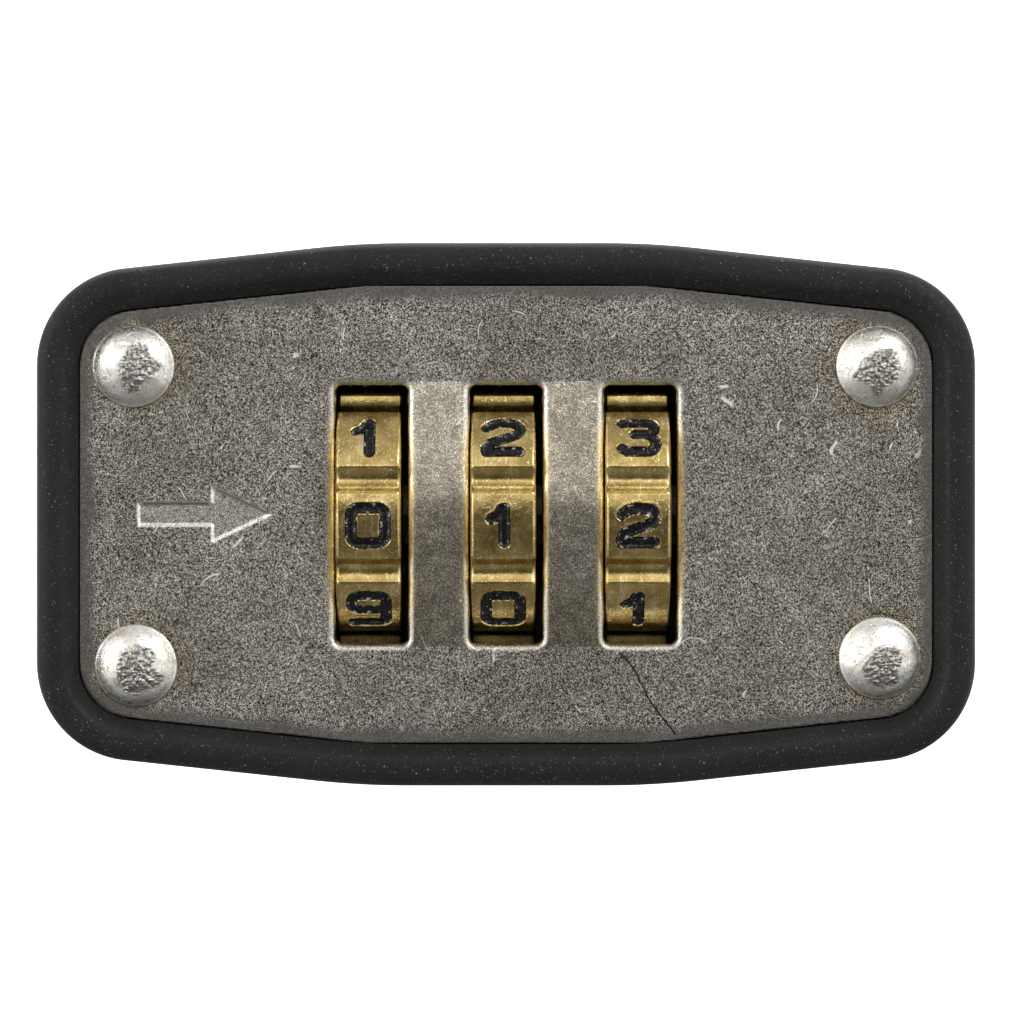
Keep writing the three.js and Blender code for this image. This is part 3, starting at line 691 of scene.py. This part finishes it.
def sweep_outline(profile):
    """Points and faces of a closed profile of (inset, y) points carried round the outline."""
    rings = [outline_ring(inset) for inset, _ in profile]
    points = []
    for column in zip(*rings):
        points += [(x, y, z) for (x, z), (_, y) in zip(column, profile)]
    return points, ring_faces(len(rings[0]), len(profile))


def make_bumpers(look):
    """The two rubber rims. One has the thumb slide's pocket, and both have a notch for the hinge."""
    front = rounded_profile([
        (0, DOOR_RIM, 0.5, 4), (0, -26.0, 0, 0), (0, RIM_FRONT, 1.3, 9), (1.5, RIM_FRONT, 0, 0),
        (2.1, RIM_FRONT, 0.4, 4), (LIP_INSET, SEAT, 0.05, 3), (LIP_INSET, PLATE_BACK, 0, 0),
        (BUMPER_INSET, PLATE_BACK, 0, 0), (BUMPER_INSET, DOOR_RIM, 0, 0),
    ])
    rear = rounded_profile([
        (BUMPER_INSET, CASE_RIM, 0, 0), (BUMPER_INSET, PAD_FRONT, 0, 0), (LIP_INSET, PAD_FRONT, 0, 0),
        (LIP_INSET, WALL, 0.4, 4), (0, WALL, 1.5, 8), (0, -8.0, 0, 0), (0, CASE_RIM, 0.5, 4),
    ])
    thumb_low, thumb_high = node_range("thumb_slide", X)
    bolt = next(joint for joint in frame["joints"] if joint["name"] == "bolt_slide")
    travel = bolt["range_m"][1] / MM
    gap, past = 0.3, 2
    front_y, back_y, floor_z = -33.0, -25.0, 18.3
    pocket = (thumb_low - travel - gap, front_y, floor_z), (thumb_high + gap, back_y, HALF_HEIGHT + past)
    notch_x, notch_depth = 32.9, 2.4

    def notch(y_low, y_high):
        return (notch_x, y_low, -HALF_HEIGHT - past), (HALF_WIDTH + past, y_high, HALF_HEIGHT + past)

    front_cuts = [pocket, notch(DOOR_RIM - notch_depth, 0)]
    rear_cuts = [notch(CASE_RIM - past, CASE_RIM + notch_depth)]
    for name, profile, cuts, body, node in (
        ("rubber_rim_front", front, front_cuts, "door", "front_bumper"),
        ("rubber_rim_rear", rear, rear_cuts, "key_box", "rear_bumper"),
    ):
        rim = make_object(name, *sweep_outline(profile))
        subtract_boxes(rim, cuts)
        rim.data.materials.clear()
        rim.data.materials.append(look)
        shade(rim.data, 38)
        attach(rim, body)
        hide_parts(node)


# ---- rivets

def rivet_mesh(seed, patch_x, patch_z):
    """A domed rivet head with a wrinkled patch, its shank and its tail, centred on its own axis.

    Returns its points, its faces, and for each point 0 to 1 as it lies off or on the patch.
    """
    around, rings, edge_rings = 144, 52, 5
    flange_width, flange_rise, edge_radius = 0.16, 0.22, 0.1
    dome_radius, dome_rise = RIVET_HEAD - flange_width, RIVET_RISE - flange_rise
    sphere = (dome_radius ** 2 + dome_rise ** 2) / (2 * dome_rise)
    turn = np.linspace(0, 2 * math.pi, around, endpoint=False)
    radii = np.concatenate([
        np.linspace(0, dome_radius, rings)[1:],
        RIVET_HEAD - edge_radius * (1 - np.sin(np.linspace(0, math.pi / 2, edge_rings)[1:])),
    ])
    radius, spin = np.meshgrid(radii, turn, indexing="ij")
    x, z = radius * np.cos(spin), radius * np.sin(spin)
    dome = np.sqrt(sphere ** 2 - np.minimum(radius, dome_radius) ** 2) - (sphere - dome_rise)
    flange = flange_rise * np.sqrt(1 - np.clip((radius - dome_radius) / flange_width, 0, 1) ** 2)

    away = np.hypot(x - patch_x, (z - patch_z) * 0.85) + 0.6 * value_noise(x, z, 0.9, seed + 1)
    patch = np.clip((1.55 - away) / 0.35, 0, 1)
    folds = np.abs(value_noise(x, 1.6 * z, 0.34, seed + 2))
    wrinkles = 0.14 * folds + 0.06 * value_noise(x, z, 0.15, seed + 3)
    lumps = 0.03 * value_noise(x, z, 0.8, seed) + 0.012 * value_noise(x, z, 0.3, seed + 4)
    fade = np.clip((dome_radius - radius) / 0.5, 0, 1)
    height = np.minimum(dome + flange + fade * (lumps + patch * (wrinkles - 0.08)), RIVET_RISE)

    skin = np.stack([x, SEAT - height, z], axis=2).reshape(-1, 3)
    shank, tail, tail_end, tail_rim = 1.6, 2.4, 1.9, 0.6
    tip = RIVET_TAIL_Y + RIVET_TAIL
    lower = [(shank, SEAT), (shank, RIVET_TAIL_Y)]
    lower += [(tail, RIVET_TAIL_Y), (tail, RIVET_TAIL_Y + tail_rim), (tail_end, tip)]
    skirt = [np.stack([r * np.cos(turn), np.full(around, y), r * np.sin(turn)], axis=1) for r, y in lower]
    points = np.concatenate([[[0, SEAT - RIVET_RISE, 0]], skin, *skirt, [[0, tip, 0]]])

    rows = len(radii) + len(lower)
    last = 1 + (rows - 1) * around
    faces = disc_faces(around, rows)
    faces += [(last + (k + 1) % around, last + k, len(points) - 1) for k in range(around)]
    off_patch = np.zeros(around * len(lower) + 1)
    return points, faces, np.concatenate([[patch[0, 0]], patch.ravel(), off_patch])


def make_rivets(look):
    """Four rivets whose patches differ. patches gives the middle of each one's patch, from its own axis."""
    patches = [(-0.15, -0.25), (0.3, -0.3), (0.35, -0.1), (0.1, -0.2)]
    for number, ((centre_x, centre_z), patch_at) in enumerate(zip(RIVETS, patches), start=1):
        points, faces, patch = rivet_mesh(40 + 10 * number, *patch_at)
        points = points + np.array([centre_x, 0, centre_z])
        rivet = make_object(f"rivet_head_{number}", points, faces, degrees=60)
        add_attribute(rivet, "wrinkled", patch)
        rivet.data.materials.append(look)
        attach(rivet, "door")
        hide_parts(f"rivet_{number}")


# ---- materials

class NodeTree:
    """Short ways to add and join shader nodes."""

    def __init__(self, tree):
        self.tree = tree

    def feed(self, target, value):
        """Links a socket to the target, or sets the target to a constant."""
        if isinstance(value, bpy.types.NodeSocket):
            self.tree.links.new(value, target)
        elif target.type == "RGBA":
            target.default_value = (*value, 1.0)
        else:
            target.default_value = value

    def add(self, kind, values=None, **settings):
        """A new node. values holds what each input gets, by the input's name or number."""
        node = self.tree.nodes.new(kind)
        for key, value in settings.items():
            setattr(node, key, value)
        for key, value in (values or {}).items():
            self.feed(node.inputs[key], value)
        return node

    def math(self, operation, first, second=0.0):
        return self.add("ShaderNodeMath", {0: first, 1: second}, operation=operation).outputs[0]

    plus = partialmethod(math, "ADD")
    minus = partialmethod(math, "SUBTRACT")
    times = partialmethod(math, "MULTIPLY")
    larger = partialmethod(math, "MAXIMUM")

    def split(self, vector):
        """The three coordinates of a vector."""
        return self.add("ShaderNodeSeparateXYZ", {0: vector}).outputs

    def soft_step(self, value, low, high):
        """Rises smoothly from 0 to 1 as the value goes from low to high."""
        values = {"Value": value, "From Min": low, "From Max": high}
        return self.add("ShaderNodeMapRange", values, interpolation_type="SMOOTHSTEP").outputs["Result"]

    def ramp(self, value, stops):
        """Colour ramp; each stop is (position, grey or colour)."""
        node = self.add("ShaderNodeValToRGB", {"Fac": value})
        elements = node.color_ramp.elements
        while len(elements) < len(stops):
            elements.new(0.5)
        for element, (place, colour) in zip(elements, stops):
            element.position = place
            rgb = (colour,) * 3 if isinstance(colour, (int, float)) else colour
            element.color = (*rgb, 1.0)
        return node.outputs["Color"]


class Nodes(NodeTree):
    """The node tree of one new material, whose shader starts with the settings."""

    def __init__(self, name, **settings):
        self.material = bpy.data.materials.new(name)
        self.material.use_nodes = True
        super().__init__(self.material.node_tree)
        self.shader = self.tree.nodes["Principled BSDF"]
        self.position = self.add("ShaderNodeTexCoord").outputs["Object"]
        for key, value in settings.items():
            self.shader.inputs[key.replace("_", " ")].default_value = value

    def attribute(self, name):
        return self.add("ShaderNodeAttribute", attribute_name=name).outputs["Fac"]

    def noise(self, size, detail=3.0, rough=0.55, scale=None, distortion=0.0):
        """Noise whose bumps are about size millimetres across."""
        vector = self.position
        if scale:
            vector = self.add("ShaderNodeMapping", {"Vector": vector, "Scale": scale}).outputs["Vector"]
        values = {"Vector": vector, "Scale": 1.0 / (size * MM), "Detail": detail}
        values.update({"Roughness": rough, "Distortion": distortion})
        return self.add("ShaderNodeTexNoise", values).outputs["Fac"]

    def varied(self, first, second, size, low=0.3, high=0.7, **settings):
        """Wanders between two greys or colours, with a noise that is mostly between low and high."""
        return self.ramp(self.noise(size, **settings), [(low, first), (high, second)])

    def mix(self, factor, first, second, blend="MIX"):
        """Mixes two colours, which are inputs 6 and 7 of the node, into output 2."""
        values = {0: factor, 6: first, 7: second}
        return self.add("ShaderNodeMix", values, data_type="RGBA", blend_type=blend).outputs[2]

    def tinted(self, colour, tint):
        return self.mix(1.0, colour, tint, "MULTIPLY")

    def cover(self, colour, mask, share, over):
        """Lays a second colour over the first where the mask is 1, at that share of its strength."""
        return self.mix(self.times(mask, share), colour, over)

    def hairlines(self, size, width, share):
        """Thin curved scratches: short stretches of the level lines of a smooth noise, as a 0 to 1 mask."""
        level = self.math("ABSOLUTE", self.minus(self.noise(size, detail=0.0), 0.5))
        line = self.soft_step(level, width, 0.3 * width)
        stretch = self.noise(0.4 * size, detail=1.0)
        return self.times(line, self.soft_step(stretch, 1.0 - share, 1.06 - share))

    def bump(self, height, distance, strength, under=None):
        """A bump whose full height is distance millimetres."""
        values = {"Height": height, "Distance": distance * MM, "Strength": strength}
        if under is not None:
            values["Normal"] = under
        return self.add("ShaderNodeBump", values).outputs["Normal"]

    def finish(self, colour, roughness=None, normal=None):
        for socket, value in (("Base Color", colour), ("Roughness", roughness), ("Normal", normal)):
            if value is not None:
                self.feed(self.shader.inputs[socket], value)
        return self.material


def distance_to_line(nodes, points, waver):
    """Distance, in metres, from the surface to a line of (x, z) points that wavers a little."""
    position = nodes.split(nodes.position)
    wander = nodes.times(nodes.minus(waver, 0.5), 0.9 * MM)
    x = nodes.plus(position[0], wander)
    z = nodes.minus(position[2], wander)
    nearest = None
    for (ax, az), (bx, bz) in zip(points, points[1:]):
        step_x, step_z = bx * MM - ax * MM, bz * MM - az * MM
        from_x, from_z = nodes.minus(x, ax * MM), nodes.minus(z, az * MM)
        dot = nodes.plus(nodes.times(from_x, step_x), nodes.times(from_z, step_z))
        along = nodes.math("DIVIDE", dot, step_x ** 2 + step_z ** 2)
        along = nodes.math("MINIMUM", nodes.larger(along, 0), 1)
        off_x = nodes.minus(from_x, nodes.times(along, step_x))
        off_z = nodes.minus(from_z, nodes.times(along, step_z))
        distance = nodes.math("SQRT", nodes.plus(nodes.times(off_x, off_x), nodes.times(off_z, off_z)))
        nearest = distance if nearest is None else nodes.math("MINIMUM", nearest, distance)
    return nearest


def tumbled_nickel():
    """Dull nickel plate, tumbled to a fine bright and dark grain, with scratches and one hairline crack. Its
    colour also holds painted light: glints on the grain, highlights on the window edges and the arrow, the dials'
    reflection on the window edges, and shade along the rim and on the arrow's upper walls.
    """
    nodes = Nodes("tumbled_nickel", Metallic=1.0)
    grain = nodes.noise(0.16, detail=2.0, rough=0.7, distortion=1.8)
    speckle = nodes.noise(0.085, detail=1.0, rough=0.7, distortion=1.0)
    tone = nodes.ramp(grain, [
        (0.42, (0.035, 0.031, 0.026)), (0.53, (0.17, 0.156, 0.135)), (0.61, (1.0, 0.97, 0.905)),
    ])
    tone = nodes.tinted(tone, nodes.ramp(speckle, [(0.38, 0.35), (0.6, 1.0)]))
    # Sparse near-white specks: painted glints of grain facets turned towards a light.
    tone = nodes.cover(tone, nodes.soft_step(speckle, 0.56, 0.63), 0.92, (0.98, 0.95, 0.895))
    pressed = nodes.attribute("pressed")
    rubbed = nodes.varied((0.4, 0.38, 0.335), (0.74, 0.71, 0.65), 0.7, 0.35, 0.65, detail=4.0)
    tone = nodes.cover(tone, pressed, 0.4, rubbed)
    tone = nodes.mix(pressed, tone, nodes.tinted(tone, (1.0, 0.965, 0.89)))
    cuts = nodes.times(nodes.hairlines(0.9, 0.03, 0.34), pressed)
    tone = nodes.cover(tone, cuts, 0.45, (1.0, 0.98, 0.94))
    tone = nodes.tinted(tone, nodes.varied((0.76, 0.735, 0.69), 1.0, 9.0, 0.35, 0.65))
    tone = nodes.tinted(tone, nodes.varied(0.85, 1.0, 2.2, 0.36, 0.6, detail=4.0))
    tarnish = nodes.times(nodes.attribute("tarnished"), nodes.noise(1.6))
    tone = nodes.mix(tarnish, tone, nodes.tinted(tone, (0.78, 0.66, 0.44)))
    scratches = nodes.larger(nodes.hairlines(5.3, 0.006, 0.4), nodes.hairlines(2.3, 0.012, 0.34))
    tone = nodes.cover(tone, scratches, 0.8, (0.95, 0.93, 0.89))
    polished_and_highlit = nodes.attribute("polished_and_highlit")
    # Near-white on the window edges and the arrow: partly burnish, partly a painted highlight.
    burnish_and_highlight = nodes.times(polished_and_highlit, nodes.soft_step(grain, 0.3, 0.5))
    tone = nodes.cover(tone, burnish_and_highlight, 0.9, (0.96, 0.945, 0.9))
    # Painted shade: the dark band along the rim, which stands in for the rim's reflection and shade, and the
    # arrow's upper walls.
    tone = nodes.cover(tone, nodes.attribute("painted_shade"), 0.8, (0.125, 0.12, 0.115))
    # Painted reflection of the brass dials in the windows' rounded edges.
    reflected_brass = nodes.times(nodes.attribute("painted_brass_reflection"), nodes.soft_step(nodes.noise(0.9), 0.2, 0.75))
    tone = nodes.cover(tone, reflected_brass, 0.75, (0.88, 0.69, 0.3))
    crack_line = [(8.6, -10.4), (9.6, -11.6), (10.9, -14.2), (12.6, -16.4)]
    from_crack = distance_to_line(nodes, crack_line, nodes.noise(0.8, detail=2.0))
    crack = nodes.soft_step(from_crack, 0.11 * MM, 0.03 * MM)
    tone = nodes.cover(tone, crack, 0.85, (0.015, 0.014, 0.013))
    rough = nodes.ramp(speckle, [(0.3, 0.3), (0.7, 0.5)])
    smooth = nodes.larger(nodes.times(polished_and_highlit, 0.8), nodes.times(pressed, 0.85))
    rough = nodes.mix(smooth, rough, (0.2, 0.2, 0.2))
    normal = nodes.bump(grain, 0.03, 0.7)
    normal = nodes.bump(speckle, 0.018, 0.7, normal)
    normal = nodes.bump(nodes.minus(1.0, crack), 0.12, 0.9, normal)
    return nodes.finish(tone, rough, normal)


def bright_rivet():
    """Bright plated steel, with a darker wrinkled patch where the punch struck it."""
    nodes = Nodes("bright_rivet", Metallic=1.0)
    soot = nodes.varied((0.05, 0.047, 0.04), (0.55, 0.54, 0.5), 0.22, 0.4, 0.62, detail=4.0, rough=0.7)
    clean = nodes.varied((0.86, 0.81, 0.71), (0.98, 0.975, 0.96), 0.9, 0.35, 0.6)
    scuffs = nodes.noise(0.16, rough=0.7, distortion=2.5)
    clean = nodes.tinted(clean, nodes.ramp(scuffs, [(0.36, 0.45), (0.5, 1.0)]))
    dents = nodes.larger(nodes.hairlines(1.1, 0.02, 0.5), nodes.hairlines(0.6, 0.035, 0.5))
    clean = nodes.cover(clean, dents, 0.5, (0.4, 0.38, 0.34))
    colour = nodes.cover(clean, nodes.attribute("wrinkled"), 0.85, soot)
    rough = nodes.varied(0.22, 0.4, 0.5, detail=4.0)
    return nodes.finish(colour, rough, nodes.bump(nodes.minus(scuffs, dents), 0.03, 0.6))


def dial_brass():
    """Turned brass: fine lines round the rim, small pits, worn bright streaks and nicks, and bright specks painted
    in as glints.
    """
    nodes = Nodes("dial_brass", Metallic=1.0)
    turned = nodes.noise(0.2, rough=0.65, scale=(1.0, 0.07, 0.07))
    cloud = nodes.noise(1.6, detail=4.0)
    colour = nodes.ramp(cloud, [(0.34, (0.37, 0.265, 0.09)), (0.66, (0.63, 0.475, 0.185))])
    # Small bright specks: painted glints.
    specks = nodes.soft_step(nodes.noise(0.14, detail=1.0), 0.69, 0.74)
    streaks = nodes.times(nodes.soft_step(turned, 0.54, 0.64), nodes.soft_step(cloud, 0.46, 0.6))
    nicks = nodes.hairlines(0.5, 0.035, 0.5)
    # This mix holds painted glints (the specks) as well as wear (the streaks and nicks).
    worn = nodes.larger(nodes.times(specks, 0.9), nodes.times(streaks, 0.4))
    worn = nodes.larger(worn, nodes.times(nicks, 0.7))
    colour = nodes.mix(worn, colour, (0.97, 0.88, 0.6))
    rough = nodes.varied(0.14, 0.3, 0.5, detail=4.0)
    normal = nodes.bump(turned, 0.03, 0.6)
    normal = nodes.bump(nodes.noise(0.3, detail=4.0, rough=0.65), 0.022, 0.7, normal)
    return nodes.finish(colour, rough, normal)


def dial_paint():
    """Glossy black paint, lumpy where it dried in the numerals, with grey flecks and marks along the edges painted
    in as glints.
    """
    nodes = Nodes("dial_paint", Specular_IOR_Level=0.22)
    colour = nodes.varied((0.002, 0.002, 0.0025), (0.007, 0.007, 0.008), 0.4)
    # Sparse grey flecks over the black paint: painted glints.
    dust_and_glints = nodes.soft_step(nodes.noise(0.12, detail=2.0), 0.69, 0.75)
    # Grey marks along the numerals' edges: painted glints where the paint's edges would catch the light.
    painted_edge_glints = nodes.times(nodes.attribute("border"), nodes.soft_step(nodes.noise(0.4), 0.54, 0.66))
    colour = nodes.mix(nodes.larger(dust_and_glints, nodes.times(painted_edge_glints, 0.8)), colour, (0.5, 0.5, 0.52))
    rough = nodes.varied(0.07, 0.2, 0.25)
    return nodes.finish(colour, rough, nodes.bump(nodes.noise(0.2), 0.06, 0.8))


def bumper_rubber():
    """Satin black moulded rubber with a faint grain and specks of dust."""
    nodes = Nodes("bumper_rubber", Specular_IOR_Level=0.22)
    base = nodes.varied((0.008, 0.008, 0.0085), (0.011, 0.011, 0.0115), 6.0, detail=4.0)
    specks = nodes.soft_step(nodes.noise(0.16, detail=1.0), 0.7, 0.78)
    powder = nodes.soft_step(nodes.noise(0.11, detail=2.0), 0.6, 0.75)
    # These specks are real dust on the rubber, with no painted glints.
    dust_and_glints = nodes.larger(nodes.times(specks, 0.5), nodes.times(powder, 0.12))
    colour = nodes.mix(dust_and_glints, base, (0.36, 0.355, 0.35))
    rough = nodes.varied(0.46, 0.54, 1.4, detail=5.0)
    return nodes.finish(colour, rough, nodes.bump(nodes.noise(0.25, detail=4.0), 0.014, 0.5))


def cast_zinc():
    """Die-cast zinc with a fine blasted skin."""
    nodes = Nodes("cast_zinc", Metallic=0.9)
    colour = nodes.varied((0.3, 0.295, 0.288), (0.37, 0.365, 0.355), 7.0, detail=6.0)
    colour = nodes.tinted(colour, nodes.varied(0.7, 1.0, 0.3, 0.4, 0.6, rough=0.7))
    rough = nodes.varied(0.42, 0.6, 0.9, detail=4.0)
    normal = nodes.bump(nodes.noise(0.22), 0.025, 0.5)
    return nodes.finish(colour, rough, nodes.bump(nodes.noise(3.0), 0.06, 0.3, normal))


def plated_steel():
    """Zinc-plated steel with fine brushing."""
    nodes = Nodes("plated_steel", Metallic=1.0)
    colour = nodes.varied((0.48, 0.48, 0.49), (0.66, 0.66, 0.66), 2.0, detail=4.0)
    rough = nodes.varied(0.24, 0.4, 0.7)
    return nodes.finish(colour, rough, nodes.bump(nodes.noise(0.1, scale=(1.0, 1.0, 0.06)), 0.01, 0.4))


def blackened_steel():
    """Oiled black-oxide steel, a little brown where it is thin."""
    nodes = Nodes("blackened_steel", Metallic=1.0)
    colour = nodes.varied((0.035, 0.034, 0.034), (0.085, 0.072, 0.058), 1.2, 0.35, detail=4.0)
    rough = nodes.varied(0.3, 0.45, 0.6)
    return nodes.finish(colour, rough, nodes.bump(nodes.noise(0.2), 0.015, 0.4))


def spring_steel():
    """Blued spring steel, a little straw-coloured in places."""
    nodes = Nodes("spring_steel", Metallic=1.0)
    colour = nodes.varied((0.3, 0.32, 0.36), (0.5, 0.47, 0.41), 4.0, 0.35, 0.65, detail=2.0)
    rough = nodes.varied(0.18, 0.3, 0.8)
    lines = nodes.noise(0.08, detail=2.0, scale=(1.0, 1.0, 0.08))
    return nodes.finish(colour, rough, nodes.bump(lines, 0.006, 0.4))


def slide_plastic():
    """Satin black moulded plastic."""
    nodes = Nodes("slide_plastic", Specular_IOR_Level=0.5)
    colour = nodes.varied((0.018, 0.018, 0.02), (0.035, 0.035, 0.037), 1.5)
    rough = nodes.varied(0.32, 0.46, 0.5)
    return nodes.finish(colour, rough, nodes.bump(nodes.noise(0.15), 0.012, 0.4))


def foam_pad():
    """Closed-cell foam: matt, dark and pitted with small cells."""
    nodes = Nodes("foam_pad")
    cell_size = 0.35
    values = {"Vector": nodes.position, "Scale": 1.0 / (cell_size * MM)}
    cells = nodes.add("ShaderNodeTexVoronoi", values).outputs["Distance"]
    colour = nodes.ramp(cells, [(0.0, (0.055, 0.055, 0.057)), (0.7, (0.02, 0.02, 0.021))])
    rough = nodes.varied(0.85, 0.97, 2.0)
    return nodes.finish(colour, rough, nodes.bump(cells, 0.09, 0.7))


# ---- CAD nodes that keep their shape

def dress_cad_nodes(looks):
    """Every CAD node gets its material and softened edges, by the slot that the record gives it."""
    slots = {part["node"]: part["material_slot"] for part in frame["record"]["subparts"]}
    for node, part in frame["nodes"].items():
        part.data.materials.clear()
        part.data.materials.append(looks[slots[node]])
        shade(part.data, 30)
        small = max(part.dimensions) < 6 * MM
        soften_edges(part, 0.08 if small else 0.16)


# ---- camera, light and stage

def make_camera():
    """Square on to the face and a little off its middle, with a long lens."""
    view_width, aim_x, aim_z = 76.1, 0.45, 0.17
    lens, sensor = 150.0, 36.0
    distance = view_width * lens / sensor
    data = bpy.data.cameras.new("camera")
    data.lens = lens
    data.sensor_width = sensor
    data.clip_start = 0.01
    camera = add_to_scene("camera", data)
    camera.location = (aim_x * MM, (RIM_FRONT - distance) * MM, aim_z * MM)
    camera.rotation_euler = (math.pi / 2, 0, 0)
    bpy.context.scene.camera = camera


def add_softbox(name, location, target, width, height, power):
    """A rectangular light that faces its target. Lengths are in metres."""
    data = bpy.data.lights.new(name, "AREA")
    data.shape = "RECTANGLE"
    data.size, data.size_y = width, height
    data.energy = power
    light = add_to_scene(name, data)
    light.location = location
    light.rotation_euler = (Vector(target) - Vector(location)).to_track_quat("-Z", "Y").to_euler()
    light.visible_camera = False


def make_lights():
    """Two small lights near the box, and two large ones for the stage."""
    centre = (0, -0.03, 0)
    add_softbox("key_light", (0.2, -0.28, 0.26), centre, 0.06, 0.06, 0.4)
    add_softbox("left_light", (-0.32, -0.22, 0.1), centre, 0.05, 0.08, 0.25)
    add_softbox("overhead", (0, 0.35, 1.1), (0, 0.25, 0), 1.4, 1.0, 11.0)
    add_softbox("wall_light", (0, 0.7, 0.6), (0, 2.1, 0.2), 1.6, 0.8, 22.0)


def make_stage():
    """A pale round floor, well below the wall-mounted box, that curves up into a wall all round.

    Glossy reflections leave it out, so that the metal mirrors the lights and the world only.
    """
    drop, floor_radius, bend, wall_height = 250.0, 1600.0, 500.0, 1800.0
    around, bend_steps = 64, 12
    floor_z = cad_low[Z] / MM - drop
    profile = [(floor_radius, floor_z)]
    for step in range(1, bend_steps + 1):
        angle = math.pi / 2 * step / bend_steps
        profile.append((floor_radius + bend * math.sin(angle), floor_z + bend * (1 - math.cos(angle))))
    profile.append((floor_radius + bend, floor_z + wall_height))
    points = [(0, 0, floor_z)]
    for radius, height in profile:
        for step in range(around):
            angle = 2 * math.pi * step / around
            points.append((radius * math.cos(angle), radius * math.sin(angle), height))
    stage = make_object("stage", points, disc_faces(around, len(profile)), degrees=60)
    pale, mottle_size = 0.86, 400.0
    paper = Nodes("stage_paper", Roughness=0.8)
    stage.data.materials.append(paper.finish(paper.varied(pale, pale * 1.01, mottle_size)))
    stage.visible_glossy = False


def make_world():
    """A soft light tent: dim ahead of the face and below it, bright to both sides and above."""
    world = bpy.data.worlds.new("studio")
    world.use_nodes = True
    nodes = NodeTree(world.node_tree)
    x, _, height = nodes.split(nodes.add("ShaderNodeTexCoord").outputs["Generated"])
    left = nodes.times(nodes.soft_step(x, -0.3, -0.58), 1.15)
    right = nodes.times(nodes.soft_step(x, 0.3, 0.58), 1.0)
    sides = nodes.times(nodes.plus(left, right), nodes.soft_step(height, -0.75, -0.05))
    band = nodes.ramp(height, [(0.1, 0.0), (0.27, 1.0), (0.42, 0.95), (0.66, 0.6), (0.88, 0.3)])
    above = nodes.times(band, 1.45)
    below = nodes.times(nodes.soft_step(height, -0.3, -0.7), 0.14)
    strength = nodes.plus(nodes.larger(sides, above), nodes.plus(below, 0.15))
    inputs = world.node_tree.nodes["Background"].inputs
    nodes.feed(inputs["Color"], (1.0, 0.985, 0.95))
    nodes.feed(inputs["Strength"], strength)
    bpy.context.scene.world = world
    bpy.context.scene.view_settings.view_transform = "Standard"


# ---- the whole scene

make_camera()
make_world()
make_lights()
make_stage()

LOOKS = {
    "cast_zinc": cast_zinc(),
    "tumbled_nickel": tumbled_nickel(),
    "bright_rivet": bright_rivet(),
    "plated_steel": plated_steel(),
    "blackened_steel": blackened_steel(),
    "spring_steel": spring_steel(),
    "dial_brass": dial_brass(),
    "dial_paint": dial_paint(),
    "bumper_rubber": bumper_rubber(),
    "slide_plastic": slide_plastic(),
    "foam_pad": foam_pad(),
}
dress_cad_nodes(LOOKS)
make_plate(LOOKS["tumbled_nickel"])
make_rivets(LOOKS["bright_rivet"])
make_dials(LOOKS["dial_brass"], LOOKS["dial_paint"])
make_bumpers(LOOKS["bumper_rubber"])
